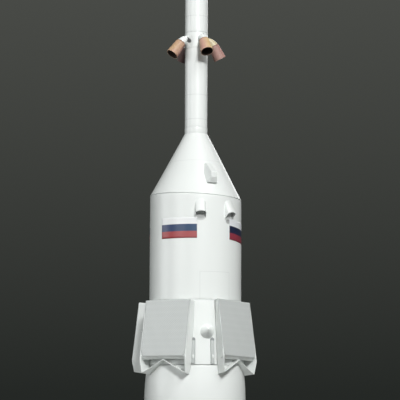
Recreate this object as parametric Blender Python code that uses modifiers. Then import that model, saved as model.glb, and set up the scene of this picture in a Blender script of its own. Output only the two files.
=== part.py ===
"""Card display model of a crewed space rocket, 1.03 m tall, standing on its engine nozzles.

Metres, +Z up. The origin is the middle of the floor under the model. An azimuth of 0 degrees points
to -Y and turns towards +X. Each glued joint between two pieces is a seam of 0.3 mm.
"""

import math

import bmesh
import bpy
from mathutils import Matrix, Vector

SEAM = 0.0003
MERGE = 0.00001
HULL_SEGMENTS = 40
TUBE_SEGMENTS = 24
NOZZLE_SEGMENTS = 12
SHARP_ANGLE = math.radians(35)

# Finishes: colour, roughness, metallic.
WHITE_CARD = ((0.88, 0.90, 0.88), 0.32, 0.0)
GREY_MESH = ((0.50, 0.53, 0.52), 0.55, 0.0)
COPPER_CARD = ((0.62, 0.33, 0.19), 0.38, 0.6)
GREY_CARD = ((0.36, 0.40, 0.36), 0.42, 0.0)
ORANGE_CARD = ((0.78, 0.25, 0.06), 0.42, 0.0)
DARK_METAL = ((0.20, 0.19, 0.18), 0.35, 0.7)

# Escape tower, from its tip down.
TOWER_TIP = 1.03125
# Each row is the nose cone's radius and how far below the tip it lies.
NOSE_PROFILE = ((0.0006, 0.0), (0.0022, 0.0030), (0.0042, 0.0090), (0.0052, 0.01505))
DRUM_TOP = 1.0150
DRUM_RADIUS = 0.0052
DRUM_FOOT = 1.0040
DRUM_SKIRT = 0.0006
TOWER_RADIUS = 0.0072
UPPER_TUBE_TOP = 1.0010
COLLAR_TOP = 0.9636
COLLAR_FOOT = 0.9530
LOWER_TUBE_RADIUS = 0.0071
BASE_RING_TOP = 0.9020
BASE_RING_RADIUS = 0.0072
RING_SHOULDER = 0.0008
PORT_AXIS = ((0.0, 0.0), (0.0064, -0.0012))  # distance from the tower's axis, height over the drum's middle
PORT_RADIUS = 0.0011
PORT_SIDES = 12

# Escape nozzles: bells that lean out from the collar.
ESCAPE_AZIMUTHS = (15, 105, 195, 285)
ESCAPE_TOP = (0.0119, 0.9567)  # distance from the tower's axis, height
ESCAPE_EXIT = (0.0167, 0.9484)
ESCAPE_TOP_RADIUS = 0.0033
ESCAPE_EXIT_RADIUS = 0.0040
ESCAPE_WALL = 0.00045
ESCAPE_BLIND = 0.0012
ESCAPE_BRIM = 0.0008
ELBOW_RADIUS = 0.0027
ELBOW_ROOT = (0.0035, 0.0026)  # distance from the axis, height over the bend
ELBOW_SIDES = 12

# Nose fairing.
CONE_TOP = 0.8980
CONE_TOP_RADIUS = 0.0073
FAIRING_RADIUS = 0.0286
CONE_FOOT = 0.8572
UPPER_SHELL_FOOT = 0.7924
BAND_TOP_RADIUS = 0.0284
BAND_FOOT = 0.7529
BAND_FOOT_RADIUS = 0.0303
LOWER_SHELL_KNEE = 0.7380
LOWER_SHELL_RADIUS = 0.03125
LOWER_SHELL_FOOT = 0.7223
TAIL_CONE_FOOT = 0.7128

# Blisters: a leaning hood with a round front and straight sides, its underside sloped back to the hull.
CYLINDER_BLISTERS = (-3, 36, 177, 216)
BLISTER_PROUD = 0.0040
BLISTER_LIP = 0.8459
BLISTER_FOOT = 0.8430
BLISTER_HALF_WIDTH = 0.0033
BLISTER_ROUNDING = 0.0022  # how deep the round front is
BLISTER_DEPTH = 0.0120
BLISTER_LENGTH = 0.0200
BLISTER_LEAN = math.radians(27)

# The cone's blister: the corners of its side as (distance out, half width, height), from the roof down.
CONE_BLISTER_AZIMUTH = 14.3
CONE_BLISTER_CORNERS = (
    (0.0182, 0.0021, 0.8769),
    (0.0202, 0.0037, 0.8726),
    (0.0280, 0.0019, 0.8706),
    (0.0280, 0.0019, 0.8673),
    (0.0254, 0.0032, 0.8631),
)
CONE_BLISTER_BACK = 0.0120

# Grid fins, folded against the band. A fin's standoff is how far it is glued out from the others.
GRID_FINS = ((-45, 0.0), (45, 0.0), (135, 0.0), (-135, 0.0019))  # azimuth, standoff
FIN_HALF_WIDTH = 0.0164
FIN_TOP = 0.7920
FIN_FOOT = 0.7579
FIN_TOP_REACH = 0.0298
FIN_FOOT_REACH = 0.0346
PANEL_THICKNESS = 0.0005
PANEL_TOP_HALF_WIDTH = 0.0162
PANEL_FOOT_HALF_WIDTH = 0.0151
LIP_REACH = 0.0348
KNEE = (0.0350, 0.7559)  # distance out and height of the front's lowest fold
CHEEK = 0.0010
CHEEK_TIP = 0.7472
CHEEK_TIP_REACH = 0.0315
CHEEK_HEEL_REACH = 0.0262
CHEEK_SLANT = 0.2  # how much a cheek draws in for each metre that it runs back to the hull
FIN_BACK_REACH = 0.0190
FIN_BACK_FOOT = 0.7544
STRAP = 0.0008
STRAP_APEX = 0.7562
STRAP_FALL = 0.6  # how far a strap drops for each metre that it runs out to its cheek
NOTCH_HALF_WIDTH = 0.0140
CUTTER_REACH = 0.04  # longer than anything that is cut away on the fairing

# Latch rails and buttons, in the gaps between the fins.
GAP_AZIMUTHS = (0, 90, 180, 270)
RAIL_OFFSET = 11.2
RAIL_WIDTH = 0.0024
RAIL_TOP = 0.7692
RAIL_FOOT = 0.7534
RAIL_PROUD = 0.0009
RAIL_DEPTH = 0.0030
BUTTON_OFFSET = 4.2
BUTTON_HEIGHT = 0.7730
# Each row is the radius of the button and how far it stands off the band there.
BUTTON_PROFILE = ((0.0003, 0.0042), (0.0022, 0.0022), (0.0040, 0.0005), (0.0040, 0.0))
BUTTON_SEGMENTS = 20

# Third stage, hung over the truss.
STAGE_RADIUS = 0.0277
STAGE_RING_TOP = 0.6000
STAGE_FOOT = 0.5773
TRUSS_FOOT = 0.5413
TRUSS_BAYS = 10
TRUSS_STRUT = 0.0018
TRUSS_FOOT_RADIUS = 0.0224
TRUSS_TOP_RADIUS = 0.0262
DUCT_AZIMUTHS = (-70, 110)
DUCT_TOP = 0.7108
DUCT_FOOT = 0.6060
DUCT_WIDTH = 0.0030
DUCT_PROUD = 0.0014
DUCT_TOP_SLOPE = 0.0030
DUCT_FOOT_SLOPE = 0.0010
DOME_RADIUS = 0.0195
DOME_HEIGHT = 0.0050
DOME_ANGLES = (75, 50, 25, 0)  # degrees up from the dome's rim
DOME_SEGMENTS = 32

# Core stage.
CORE_TOP = 0.5410
CORE_TOP_RADIUS = 0.0234
CORE_WAIST_TOP = 0.4250
CORE_WAIST_FOOT = 0.4120
CORE_WIDE_RADIUS = 0.0307
CORE_FLARE_FOOT = 0.3300
CORE_RADIUS = 0.02135
TAIL_TOP = 0.0750
TAIL_FOOT = 0.0293

# Boosters: a straight tail under a tapered body that leans in to the core's flare.
BOOSTER_AZIMUTHS = (0, 90, 180, 270)
BOOSTER_RADIUS = 0.0279
BOOSTER_AXIS = CORE_RADIUS + BOOSTER_RADIUS + SEAM
BOOSTER_NECK = 0.3300
BOOSTER_SHOULDER = 0.4000
BOOSTER_SHOULDER_RADIUS = 0.0045
BOOSTER_TIP = 0.4080
BOOSTER_LEAN = 0.04745
BOOSTER_TIP_PROFILE = ((0.0012, 0.0), (0.0031, 0.0020))  # radius, how far below the tip
VANE_REACH = 0.1073
VANE_SUNK = 0.0020
VANE_FOOT = 0.0303
VANE_TIP_TOP = 0.0433
VANE_SHOULDER = (0.0060, 0.0710)  # distance out from its root, height
VANE_THICKNESS = 0.0014

# Engines: a thrust plate with bells and small steering bells under it.
PLATE_THICKNESS = 0.0030
BELL_SUNK = 0.0005
BELL_CIRCLE = 0.0113
BELL_LENGTH = TAIL_FOOT - SEAM - PLATE_THICKNESS + BELL_SUNK
# Each row is how far down the bell it lies, as a share of its length, and its outer radius.
BELL_PROFILE = ((0.0, 0.0032), (0.13, 0.0027), (0.48, 0.0054), (1.0, 0.0075))
BELL_WALL = 0.0005
SMALL_BELL_LENGTH = 0.0115
SMALL_BELL_PROFILE = ((0.0, 0.0016), (0.25, 0.0018), (1.0, 0.0032))
SMALL_BELL_SEGMENTS = 10
SMALL_BELL_INSET = 0.0035
CORE_STEERING = (0, 90, 180, 270)
BOOSTER_STEERING = (-62, 62)
CORE_PLATE_RADIUS = 0.0195
BOOSTER_PLATE_RADIUS = 0.0225
STAGE_PLATE_RADIUS = 0.0190
STAGE_BELL_SHARE = 0.92


def clear_scene():
    for obj in list(bpy.data.objects):
        bpy.data.objects.remove(obj, do_unlink=True)


def new_collection(name):
    collection = bpy.data.collections.new(name)
    bpy.context.scene.collection.children.link(collection)
    return collection


def finish_of(name, finish):
    """A material of the piece's own, from a finish row."""
    colour, roughness, metallic = finish
    material = bpy.data.materials.new(name)
    material.use_nodes = True
    shader = material.node_tree.nodes["Principled BSDF"]
    shader.inputs["Base Color"].default_value = (*colour, 1.0)
    shader.inputs["Roughness"].default_value = roughness
    shader.inputs["Metallic"].default_value = metallic
    material.diffuse_color = (*colour, 1.0)
    return material


def spoke(name, azimuth):
    """An empty at the origin whose +X points along an azimuth."""
    empty = bpy.data.objects.new(name, None)
    empty.rotation_euler.z = math.radians(azimuth - 90)
    empty.empty_display_size = 0.02
    parts.objects.link(empty)
    return empty


def place(name, mesh, finish, parent=None):
    """A piece of the model: its mesh, its material and the empty that turns it into place."""
    obj = bpy.data.objects.new(name, mesh)
    parts.objects.link(obj)
    obj.parent = parent
    if not mesh.materials:
        mesh.materials.append(finish_of(name, finish))
    return obj


def as_cutter(name, data):
    """A helper of a mesh or a curve, which is not a piece of the model."""
    obj = bpy.data.objects.new(name, data)
    cutters.objects.link(obj)
    obj.hide_render = True
    obj.display_type = "WIRE"
    return obj


def settled(obj):
    """The object's evaluated mesh with its doubles merged, in the object's own space."""
    bpy.context.view_layer.update()
    graph = bpy.context.evaluated_depsgraph_get()
    mesh = bpy.data.meshes.new_from_object(obj.evaluated_get(graph))
    work = bmesh.new()
    work.from_mesh(mesh)
    bmesh.ops.remove_doubles(work, verts=work.verts, dist=MERGE)
    work.to_mesh(mesh)
    work.free()
    mesh.shade_smooth()
    mesh.set_sharp_from_angle(angle=SHARP_ANGLE)
    return mesh


def settle(obj):
    """Puts the evaluated mesh in place of the object's modifiers, smooth on its round sides."""
    mesh = settled(obj)
    obj.modifiers.clear()
    obj.data = mesh
    return obj


def mesh_of(obj):
    """The evaluated mesh of a helper, which is then removed."""
    mesh = settled(obj)
    bpy.data.objects.remove(obj, do_unlink=True)
    return mesh


def turned(profile, segments):
    """A solid turned about Z from (radius, height) points that run down its outer side."""
    line = bpy.data.meshes.new("profile")
    points = [(radius, 0.0, height) for radius, height in profile]
    line.from_pydata(points, [(index, index + 1) for index in range(len(points) - 1)], [])
    helper = as_cutter("profile", line)
    screw = helper.modifiers.new("turn", "SCREW")
    screw.steps = screw.render_steps = segments
    screw.use_merge_vertices = True
    screw.merge_threshold = MERGE
    return mesh_of(helper)


def drum(profile, segments):
    """A turned solid closed by a flat disc at each end of its side."""
    return turned([(0.0, profile[0][1]), *profile, (0.0, profile[-1][1])], segments)


def slab(outline, thickness, matrix):
    """A flat outline in the XY plane, made a plate of the thickness about it and then moved."""
    curve = bpy.data.curves.new("outline", "CURVE")
    curve.dimensions = "2D"
    curve.fill_mode = "BOTH"
    curve.extrude = thickness / 2
    line = curve.splines.new("POLY")
    line.points.add(len(outline) - 1)
    for point, (x, y) in zip(line.points, outline):
        point.co = (x, y, 0.0, 1.0)
    line.use_cyclic_u = True
    mesh = mesh_of(as_cutter("outline", curve))
    mesh.transform(matrix)
    return mesh


def tube(points, radius, sides):
    """A round tube with closed ends along a line of points."""
    curve = bpy.data.curves.new("tube", "CURVE")
    curve.dimensions = "3D"
    curve.bevel_depth = radius
    curve.bevel_resolution = sides // 4
    curve.use_fill_caps = True
    line = curve.splines.new("POLY")
    line.points.add(len(points) - 1)
    for point, place_at in zip(line.points, points):
        point.co = (*place_at, 1.0)
    return mesh_of(as_cutter("tube", curve))


def moved(mesh, matrix):
    copy = mesh.copy()
    copy.transform(matrix)
    return copy


def cut(obj, cutter, operation="DIFFERENCE"):
    modifier = obj.modifiers.new(cutter.name, "BOOLEAN")
    modifier.object = cutter
    modifier.operation = operation
    modifier.solver = "EXACT"


def upright(x_axis, y_axis):
    """A matrix whose columns stand an XY outline up: its x and y run along the two given axes."""
    x_axis, y_axis = Vector(x_axis), Vector(y_axis)
    return Matrix((x_axis, y_axis, x_axis.cross(y_axis))).transposed().to_4x4()


SIDE_VIEW = upright((1, 0, 0), (0, 0, 1))
FRONT_VIEW = upright((0, 1, 0), (0, 0, 1))


def turn(azimuth):
    return Matrix.Rotation(math.radians(azimuth - 90), 4, "Z")


def make_tower():
    """The escape tower: nose cone, steering motor, two tubes, nozzle collar and base ring."""
    nose = [(radius, TOWER_TIP - below) for radius, below in NOSE_PROFILE]
    nose += [(DRUM_RADIUS, DRUM_TOP + SEAM)]
    place("escape_nose_cone", drum(nose, TUBE_SEGMENTS), WHITE_CARD)

    drum_side = [(DRUM_RADIUS, DRUM_TOP), (DRUM_RADIUS, DRUM_FOOT)]
    skirt = UPPER_TUBE_TOP + SEAM
    drum_side += [(TOWER_RADIUS, skirt + DRUM_SKIRT), (TOWER_RADIUS, skirt)]
    motor = place("escape_steering_motor", drum(drum_side, TUBE_SEGMENTS), WHITE_CARD)
    middle = (DRUM_TOP + DRUM_FOOT) / 2
    port = tube([(reach, 0.0, middle + rise) for reach, rise in PORT_AXIS], PORT_RADIUS, PORT_SIDES)
    for azimuth in ESCAPE_AZIMUTHS:
        cut(motor, as_cutter("steering_port", moved(port, turn(azimuth))), "UNION")
    settle(motor)

    tubes = (
        ("escape_upper_tube", TOWER_RADIUS, UPPER_TUBE_TOP, COLLAR_TOP + SEAM),
        ("escape_lower_tube", LOWER_TUBE_RADIUS, COLLAR_FOOT - SEAM, BASE_RING_TOP + SEAM),
    )
    for name, radius, top, foot in tubes:
        place(name, drum([(radius, top), (radius, foot)], TUBE_SEGMENTS), WHITE_CARD)

    ring = [(LOWER_TUBE_RADIUS, BASE_RING_TOP), (BASE_RING_RADIUS, BASE_RING_TOP - RING_SHOULDER)]
    ring += [(BASE_RING_RADIUS, CONE_TOP + SEAM)]
    place("escape_base_ring", drum(ring, TUBE_SEGMENTS), WHITE_CARD)


def make_escape_nozzles():
    """Four bells leaning out from white elbows on the collar."""
    top = Vector((ESCAPE_TOP[0], 0.0, ESCAPE_TOP[1]))
    leaning = Vector((ESCAPE_EXIT[0], 0.0, ESCAPE_EXIT[1])) - top
    length = leaning.length
    along = leaning.normalized()

    sides = [(TOWER_RADIUS, COLLAR_TOP), (TOWER_RADIUS, COLLAR_FOOT)]
    collar = place("escape_nozzle_collar", drum(sides, TUBE_SEGMENTS), WHITE_CARD)
    end = top - along * SEAM
    bend = top - along * (0.5 * ELBOW_RADIUS)
    start = Vector((ELBOW_ROOT[0], 0.0, bend.z + ELBOW_ROOT[1]))
    elbow = tube((start, start.lerp(bend, 0.55), bend, end), ELBOW_RADIUS, ELBOW_SIDES)

    bell_side = [(ESCAPE_TOP_RADIUS * 0.9, 0.0), (ESCAPE_TOP_RADIUS, -ESCAPE_BRIM)]
    bell_side += [(ESCAPE_EXIT_RADIUS, -length)]
    inner = [(ESCAPE_EXIT_RADIUS - ESCAPE_WALL, -length), (ESCAPE_TOP_RADIUS - ESCAPE_WALL, -ESCAPE_BLIND)]
    profile = [(0.0, 0.0), *bell_side, *inner, (0.0, -ESCAPE_BLIND)]
    bell = turned(profile, NOZZLE_SEGMENTS + 2)
    lean = Vector((0, 0, -1)).rotation_difference(along).to_matrix().to_4x4()
    bell.transform(Matrix.Translation(top) @ lean)

    for number, azimuth in enumerate(ESCAPE_AZIMUTHS, 1):
        cut(collar, as_cutter(f"elbow_{number}", moved(elbow, turn(azimuth))), "UNION")
        place(f"escape_nozzle_{number}", bell, COPPER_CARD, spoke(f"escape_spoke_{number}", azimuth))
    settle(collar)


def hull_profile():
    """The fairing's outside from the cone down, as (radius, height) points."""
    return [
        (CONE_TOP_RADIUS, CONE_TOP),
        (FAIRING_RADIUS, CONE_FOOT),
        (FAIRING_RADIUS, UPPER_SHELL_FOOT),
        (BAND_TOP_RADIUS, UPPER_SHELL_FOOT - SEAM),
        (BAND_FOOT_RADIUS, BAND_FOOT),
        (LOWER_SHELL_RADIUS, LOWER_SHELL_KNEE),
        (LOWER_SHELL_RADIUS, LOWER_SHELL_FOOT),
    ]


def make_fairing():
    """The fairing's hull: cone, upper shell, fin band, lower shell and tail cone."""
    shells = (
        ("fairing_cone", ((CONE_TOP_RADIUS, CONE_TOP), (FAIRING_RADIUS, CONE_FOOT))),
        ("fairing_upper_shell", ((FAIRING_RADIUS, CONE_FOOT - SEAM), (FAIRING_RADIUS, UPPER_SHELL_FOOT))),
        ("fin_band", ((BAND_TOP_RADIUS, UPPER_SHELL_FOOT - SEAM), (BAND_FOOT_RADIUS, BAND_FOOT))),
        (
            "fairing_lower_shell",
            (
                (BAND_FOOT_RADIUS, BAND_FOOT - SEAM),
                (LOWER_SHELL_RADIUS, LOWER_SHELL_KNEE),
                (LOWER_SHELL_RADIUS, LOWER_SHELL_FOOT),
            ),
        ),
        (
            "fairing_tail_cone",
            ((LOWER_SHELL_RADIUS, LOWER_SHELL_FOOT - SEAM), (STAGE_RADIUS, TAIL_CONE_FOOT)),
        ),
    )
    for name, side in shells:
        place(name, drum(side, HULL_SEGMENTS), WHITE_CARD)


def band_radius(height):
    """The fin band's radius at a height."""
    share = (height - BAND_FOOT) / (UPPER_SHELL_FOOT - SEAM - BAND_FOOT)
    return BAND_FOOT_RADIUS + share * (BAND_TOP_RADIUS - BAND_FOOT_RADIUS)


def make_rails_and_buttons():
    """Round-topped latch rails fused to the band, and a low pointed button in each gap."""
    band = bpy.data.objects["fin_band"]
    half = RAIL_WIDTH / 2
    arch = [
        (half * math.cos(math.radians(angle)), RAIL_TOP - half + half * math.sin(math.radians(angle)))
        for angle in range(0, 181, 45)
    ]
    outline = [(half, RAIL_FOOT), *arch, (-half, RAIL_FOOT)]
    slope = math.atan2(BAND_FOOT_RADIUS - BAND_TOP_RADIUS, UPPER_SHELL_FOOT - BAND_FOOT)
    middle = (RAIL_TOP + RAIL_FOOT) / 2
    rail = slab([(y, z - middle) for y, z in outline], RAIL_DEPTH, FRONT_VIEW)
    reach = band_radius(middle) + RAIL_PROUD - RAIL_DEPTH / 2
    rail.transform(Matrix.Translation((reach, 0, middle)) @ Matrix.Rotation(-slope, 4, "Y"))
    button = drum(BUTTON_PROFILE, BUTTON_SEGMENTS)
    seat = band_radius(BUTTON_HEIGHT) + SEAM
    button.transform(Matrix.Translation((seat, 0, BUTTON_HEIGHT)) @ Matrix.Rotation(math.radians(90), 4, "Y"))
    for number, azimuth in enumerate(GAP_AZIMUTHS, 1):
        for side in (-RAIL_OFFSET, RAIL_OFFSET):
            cutter = as_cutter(f"rail_{number}", moved(rail, turn(azimuth + side)))
            cut(band, cutter, "UNION")
        holder = spoke(f"button_spoke_{number}", azimuth + BUTTON_OFFSET)
        place(f"band_button_{number}", button, WHITE_CARD, holder)
    settle(band)


def hull_cutter():
    """The whole fairing, one seam larger all round, which shapes the back of what is glued to it."""
    side = [(radius + SEAM, height) for radius, height in hull_profile()]
    return as_cutter("hull_with_seam", drum(side, HULL_SEGMENTS))


def make_blisters(hull):
    """Hoods on the upper shell and one on the cone, cut to the hull behind."""
    angles = [math.radians(angle) for angle in range(-90, 91, 15)]
    front = [
        (BLISTER_ROUNDING * (math.cos(angle) - 1), BLISTER_HALF_WIDTH * math.sin(angle))
        for angle in angles
    ]
    section = [(-BLISTER_DEPTH, BLISTER_HALF_WIDTH), (-BLISTER_DEPTH, -BLISTER_HALF_WIDTH), *front]
    lip_reach = FAIRING_RADIUS + BLISTER_PROUD
    leaning = Matrix.Translation((lip_reach, 0, BLISTER_LIP)) @ Matrix.Rotation(-BLISTER_LEAN, 4, "Y")
    prism = slab(section, BLISTER_LENGTH, leaning)
    under = [
        (FAIRING_RADIUS - CUTTER_REACH, BLISTER_FOOT),
        (FAIRING_RADIUS, BLISTER_FOOT),
        (lip_reach, BLISTER_LIP),
        (lip_reach + CUTTER_REACH, BLISTER_LIP),
        (lip_reach + CUTTER_REACH, BLISTER_FOOT - CUTTER_REACH),
        (FAIRING_RADIUS - CUTTER_REACH, BLISTER_FOOT - CUTTER_REACH),
    ]
    wedge = slab(under, CUTTER_REACH, SIDE_VIEW)
    for number, azimuth in enumerate(CYLINDER_BLISTERS, 1):
        name = f"fairing_blister_{number}"
        hood = place(name, prism.copy(), WHITE_CARD, spoke(f"{name}_spoke", azimuth))
        cut(hood, as_cutter(f"{name}_under", moved(wedge, turn(azimuth))))
        cut(hood, hull)
        settle(hood)

    work = bmesh.new()
    for reach, half, height in CONE_BLISTER_CORNERS:
        for side in (-1, 1):
            work.verts.new((reach, side * half, height))
            work.verts.new((CONE_BLISTER_BACK, side * half, height))
    bmesh.ops.convex_hull(work, input=work.verts)
    wedge = bpy.data.meshes.new("cone_blister")
    work.to_mesh(wedge)
    work.free()
    hood = place("fairing_cone_blister", wedge, WHITE_CARD, spoke("cone_blister_spoke", CONE_BLISTER_AZIMUTH))
    cut(hood, hull)
    settle(hood)


def make_grid_fins(hull):
    """Four folded grid fins: a white box with pointed cheeks and a grey mesh panel on its front."""
    front = (FIN_TOP_REACH - PANEL_THICKNESS - SEAM, FIN_FOOT_REACH - PANEL_THICKNESS - SEAM)
    profile = [
        (FIN_BACK_REACH, FIN_TOP),
        (front[0], FIN_TOP),
        (front[1], FIN_FOOT - SEAM),
        (LIP_REACH, FIN_FOOT - SEAM),
        KNEE,
        (CHEEK_TIP_REACH, CHEEK_TIP),
        (CHEEK_HEEL_REACH, CHEEK_TIP),
        (FIN_BACK_REACH, FIN_BACK_FOOT),
    ]
    box = slab(profile, 2 * FIN_HALF_WIDTH, SIDE_VIEW)
    ahead = LIP_REACH - FIN_TOP_REACH
    deep = FIN_BACK_REACH - FIN_TOP_REACH
    back_half = FIN_HALF_WIDTH + deep * CHEEK_SLANT
    right = [(ahead, FIN_HALF_WIDTH), (0.0, FIN_HALF_WIDTH), (deep, back_half)]
    plan = [*right, *((x, -y) for x, y in reversed(right))]
    tilt = Matrix.Rotation(-math.atan2(FIN_FOOT_REACH - FIN_TOP_REACH, FIN_TOP - FIN_FOOT), 4, "Y")
    trapezoid = slab(plan, 3 * CUTTER_REACH, Matrix.Translation((front[1], 0, FIN_FOOT)) @ tilt)

    inside = FIN_HALF_WIDTH - CHEEK
    ridge = STRAP_APEX + STRAP
    opening = [((ridge - KNEE[1]) / STRAP_FALL, KNEE[1]), (inside, KNEE[1])]
    opening += [(inside, ridge - STRAP_FALL * inside)]
    opposite = [(-y, z) for y, z in opening]
    eaves = STRAP_APEX - STRAP_FALL * NOTCH_HALF_WIDTH
    notch = [(0.0, STRAP_APEX), (NOTCH_HALF_WIDTH, eaves), (NOTCH_HALF_WIDTH, eaves - CUTTER_REACH)]
    notch += [(-NOTCH_HALF_WIDTH, eaves - CUTTER_REACH), (-NOTCH_HALF_WIDTH, eaves)]
    through = Matrix.Translation((LIP_REACH, 0, 0)) @ FRONT_VIEW
    pockets = [slab(outline, CUTTER_REACH, through) for outline in (opening, opposite, notch)]

    slope = math.hypot(FIN_FOOT_REACH - FIN_TOP_REACH, FIN_TOP - FIN_FOOT)
    face = [(-PANEL_FOOT_HALF_WIDTH, 0.0), (PANEL_FOOT_HALF_WIDTH, 0.0)]
    face += [(PANEL_TOP_HALF_WIDTH, slope), (-PANEL_TOP_HALF_WIDTH, slope)]
    seat = Matrix.Translation((FIN_FOOT_REACH - PANEL_THICKNESS, 0, FIN_FOOT)) @ tilt
    panel = slab(face, PANEL_THICKNESS, seat @ Matrix.Translation((PANEL_THICKNESS / 2, 0, 0)) @ FRONT_VIEW)
    for number, (azimuth, standoff) in enumerate(GRID_FINS, 1):
        out = Matrix.Translation((standoff, 0, 0))
        holder = spoke(f"grid_fin_spoke_{number}", azimuth)
        frame = place(f"grid_fin_frame_{number}", moved(box, out), WHITE_CARD, holder)
        cut(frame, as_cutter(f"fin_plan_{number}", moved(trapezoid, turn(azimuth) @ out)), "INTERSECT")
        for pocket in pockets:
            cut(frame, as_cutter(f"fin_pocket_{number}", moved(pocket, turn(azimuth) @ out)))
        cut(frame, hull)
        settle(frame)
        place(f"grid_fin_panel_{number}", moved(panel, out), GREY_MESH, holder)


def make_third_stage():
    """The third stage with its ducts and engine, and the open truss under it."""
    tank = [(STAGE_RADIUS, TAIL_CONE_FOOT - SEAM), (STAGE_RADIUS, STAGE_RING_TOP + SEAM)]
    ring = [(STAGE_RADIUS, STAGE_RING_TOP), (STAGE_RADIUS, STAGE_FOOT)]
    place("third_stage_tank", drum(tank, HULL_SEGMENTS), GREY_CARD)
    place("third_stage_ring", drum(ring, HULL_SEGMENTS), WHITE_CARD)
    seat = STAGE_RADIUS + SEAM
    reach = seat + DUCT_PROUD
    outline = [(seat, DUCT_FOOT), (seat, DUCT_TOP)]
    outline += [(reach, DUCT_TOP - DUCT_TOP_SLOPE), (reach, DUCT_FOOT + DUCT_FOOT_SLOPE)]
    duct = slab(outline, DUCT_WIDTH, SIDE_VIEW)
    for number, azimuth in enumerate(DUCT_AZIMUTHS, 1):
        place(f"third_stage_duct_{number}", duct, GREY_CARD, spoke(f"duct_spoke_{number}", azimuth))

    engine = engine_mesh(STAGE_PLATE_RADIUS, STAGE_FOOT - SEAM, CORE_STEERING, STAGE_BELL_SHARE)
    place("third_stage_engine", engine, DARK_METAL)

    work = bmesh.new()
    height = STAGE_FOOT - SEAM - TRUSS_FOOT - TRUSS_STRUT
    bmesh.ops.create_cone(
        work,
        cap_ends=False,
        segments=TRUSS_BAYS,
        radius1=TRUSS_FOOT_RADIUS,
        radius2=TRUSS_TOP_RADIUS,
        depth=height,
    )
    upper = [vertex for vertex in work.verts if vertex.co.z > 0]
    bmesh.ops.rotate(work, verts=upper, matrix=Matrix.Rotation(math.pi / TRUSS_BAYS, 3, "Z"))
    bmesh.ops.triangulate(work, faces=work.faces, quad_method="SHORT_EDGE")
    bmesh.ops.translate(work, verts=work.verts, vec=(0, 0, TRUSS_FOOT + TRUSS_STRUT / 2 + height / 2))
    lattice = bpy.data.meshes.new("interstage_truss")
    work.to_mesh(lattice)
    work.free()
    truss = place("interstage_truss", lattice, GREY_CARD)
    wire = truss.modifiers.new("struts", "WIREFRAME")
    wire.thickness = TRUSS_STRUT
    wire.use_boundary = True
    settle(truss)


def make_core():
    """The core stage: dome, upper cone, flared tank, tail and engine."""
    dome = [
        (DOME_RADIUS * math.cos(angle), TRUSS_FOOT + DOME_HEIGHT * math.sin(angle))
        for angle in map(math.radians, DOME_ANGLES)
    ]
    outline = [(0.0, TRUSS_FOOT + DOME_HEIGHT), *dome, (0.0, TRUSS_FOOT)]
    place("core_top_dome", turned(outline, DOME_SEGMENTS), GREY_CARD)
    upper = [(CORE_TOP_RADIUS, CORE_TOP), (CORE_WIDE_RADIUS, CORE_WAIST_TOP + SEAM)]
    lower = [(CORE_WIDE_RADIUS, CORE_WAIST_TOP), (CORE_WIDE_RADIUS, CORE_WAIST_FOOT)]
    lower += [(CORE_RADIUS, CORE_FLARE_FOOT), (CORE_RADIUS, TAIL_TOP)]
    tail = [(CORE_RADIUS, TAIL_TOP - SEAM), (CORE_RADIUS, TAIL_FOOT)]
    place("core_upper_cone", drum(upper, HULL_SEGMENTS), GREY_CARD)
    place("core_tank", drum(lower, HULL_SEGMENTS), GREY_CARD)
    place("core_tail", drum(tail, HULL_SEGMENTS), GREY_CARD)
    place("core_engine", engine_mesh(CORE_PLATE_RADIUS, TAIL_FOOT - SEAM, CORE_STEERING), DARK_METAL)


def bell_mesh(rows, length, share, segments):
    """A hollow bell, its rim on the floor of its own frame. Rows are (share of the way down, radius)."""
    outer = [(radius * share, length * share * (1 - down)) for down, radius in rows]
    inner = [(radius - BELL_WALL, height) for radius, height in reversed(outer[1:])]
    return turned([(0.0, outer[0][1]), *outer, *inner, (0.0, inner[-1][1])], segments)


def engine_mesh(plate_radius, top, steering, share=1.0):
    """A thrust plate with four bells and its small steering bells, as one solid."""
    foot = top - PLATE_THICKNESS
    plate = as_cutter("plate", drum([(plate_radius, top), (plate_radius, foot)], TUBE_SEGMENTS))
    bell = bell_mesh(BELL_PROFILE, BELL_LENGTH, share, NOZZLE_SEGMENTS)
    small = bell_mesh(SMALL_BELL_PROFILE, SMALL_BELL_LENGTH, 1.0, SMALL_BELL_SEGMENTS)
    groups = (
        (bell, BELL_CIRCLE * share, BELL_LENGTH * share, (45, 135, 225, 315)),
        (small, plate_radius - SMALL_BELL_INSET, SMALL_BELL_LENGTH, steering),
    )
    for shape, circle, length, angles in groups:
        hung = Matrix.Translation((circle, 0, foot + BELL_SUNK - length))
        for angle in angles:
            around = Matrix.Rotation(math.radians(angle), 4, "Z")
            cut(plate, as_cutter("bell", moved(shape, around @ hung)), "UNION")
    return mesh_of(plate)


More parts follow.
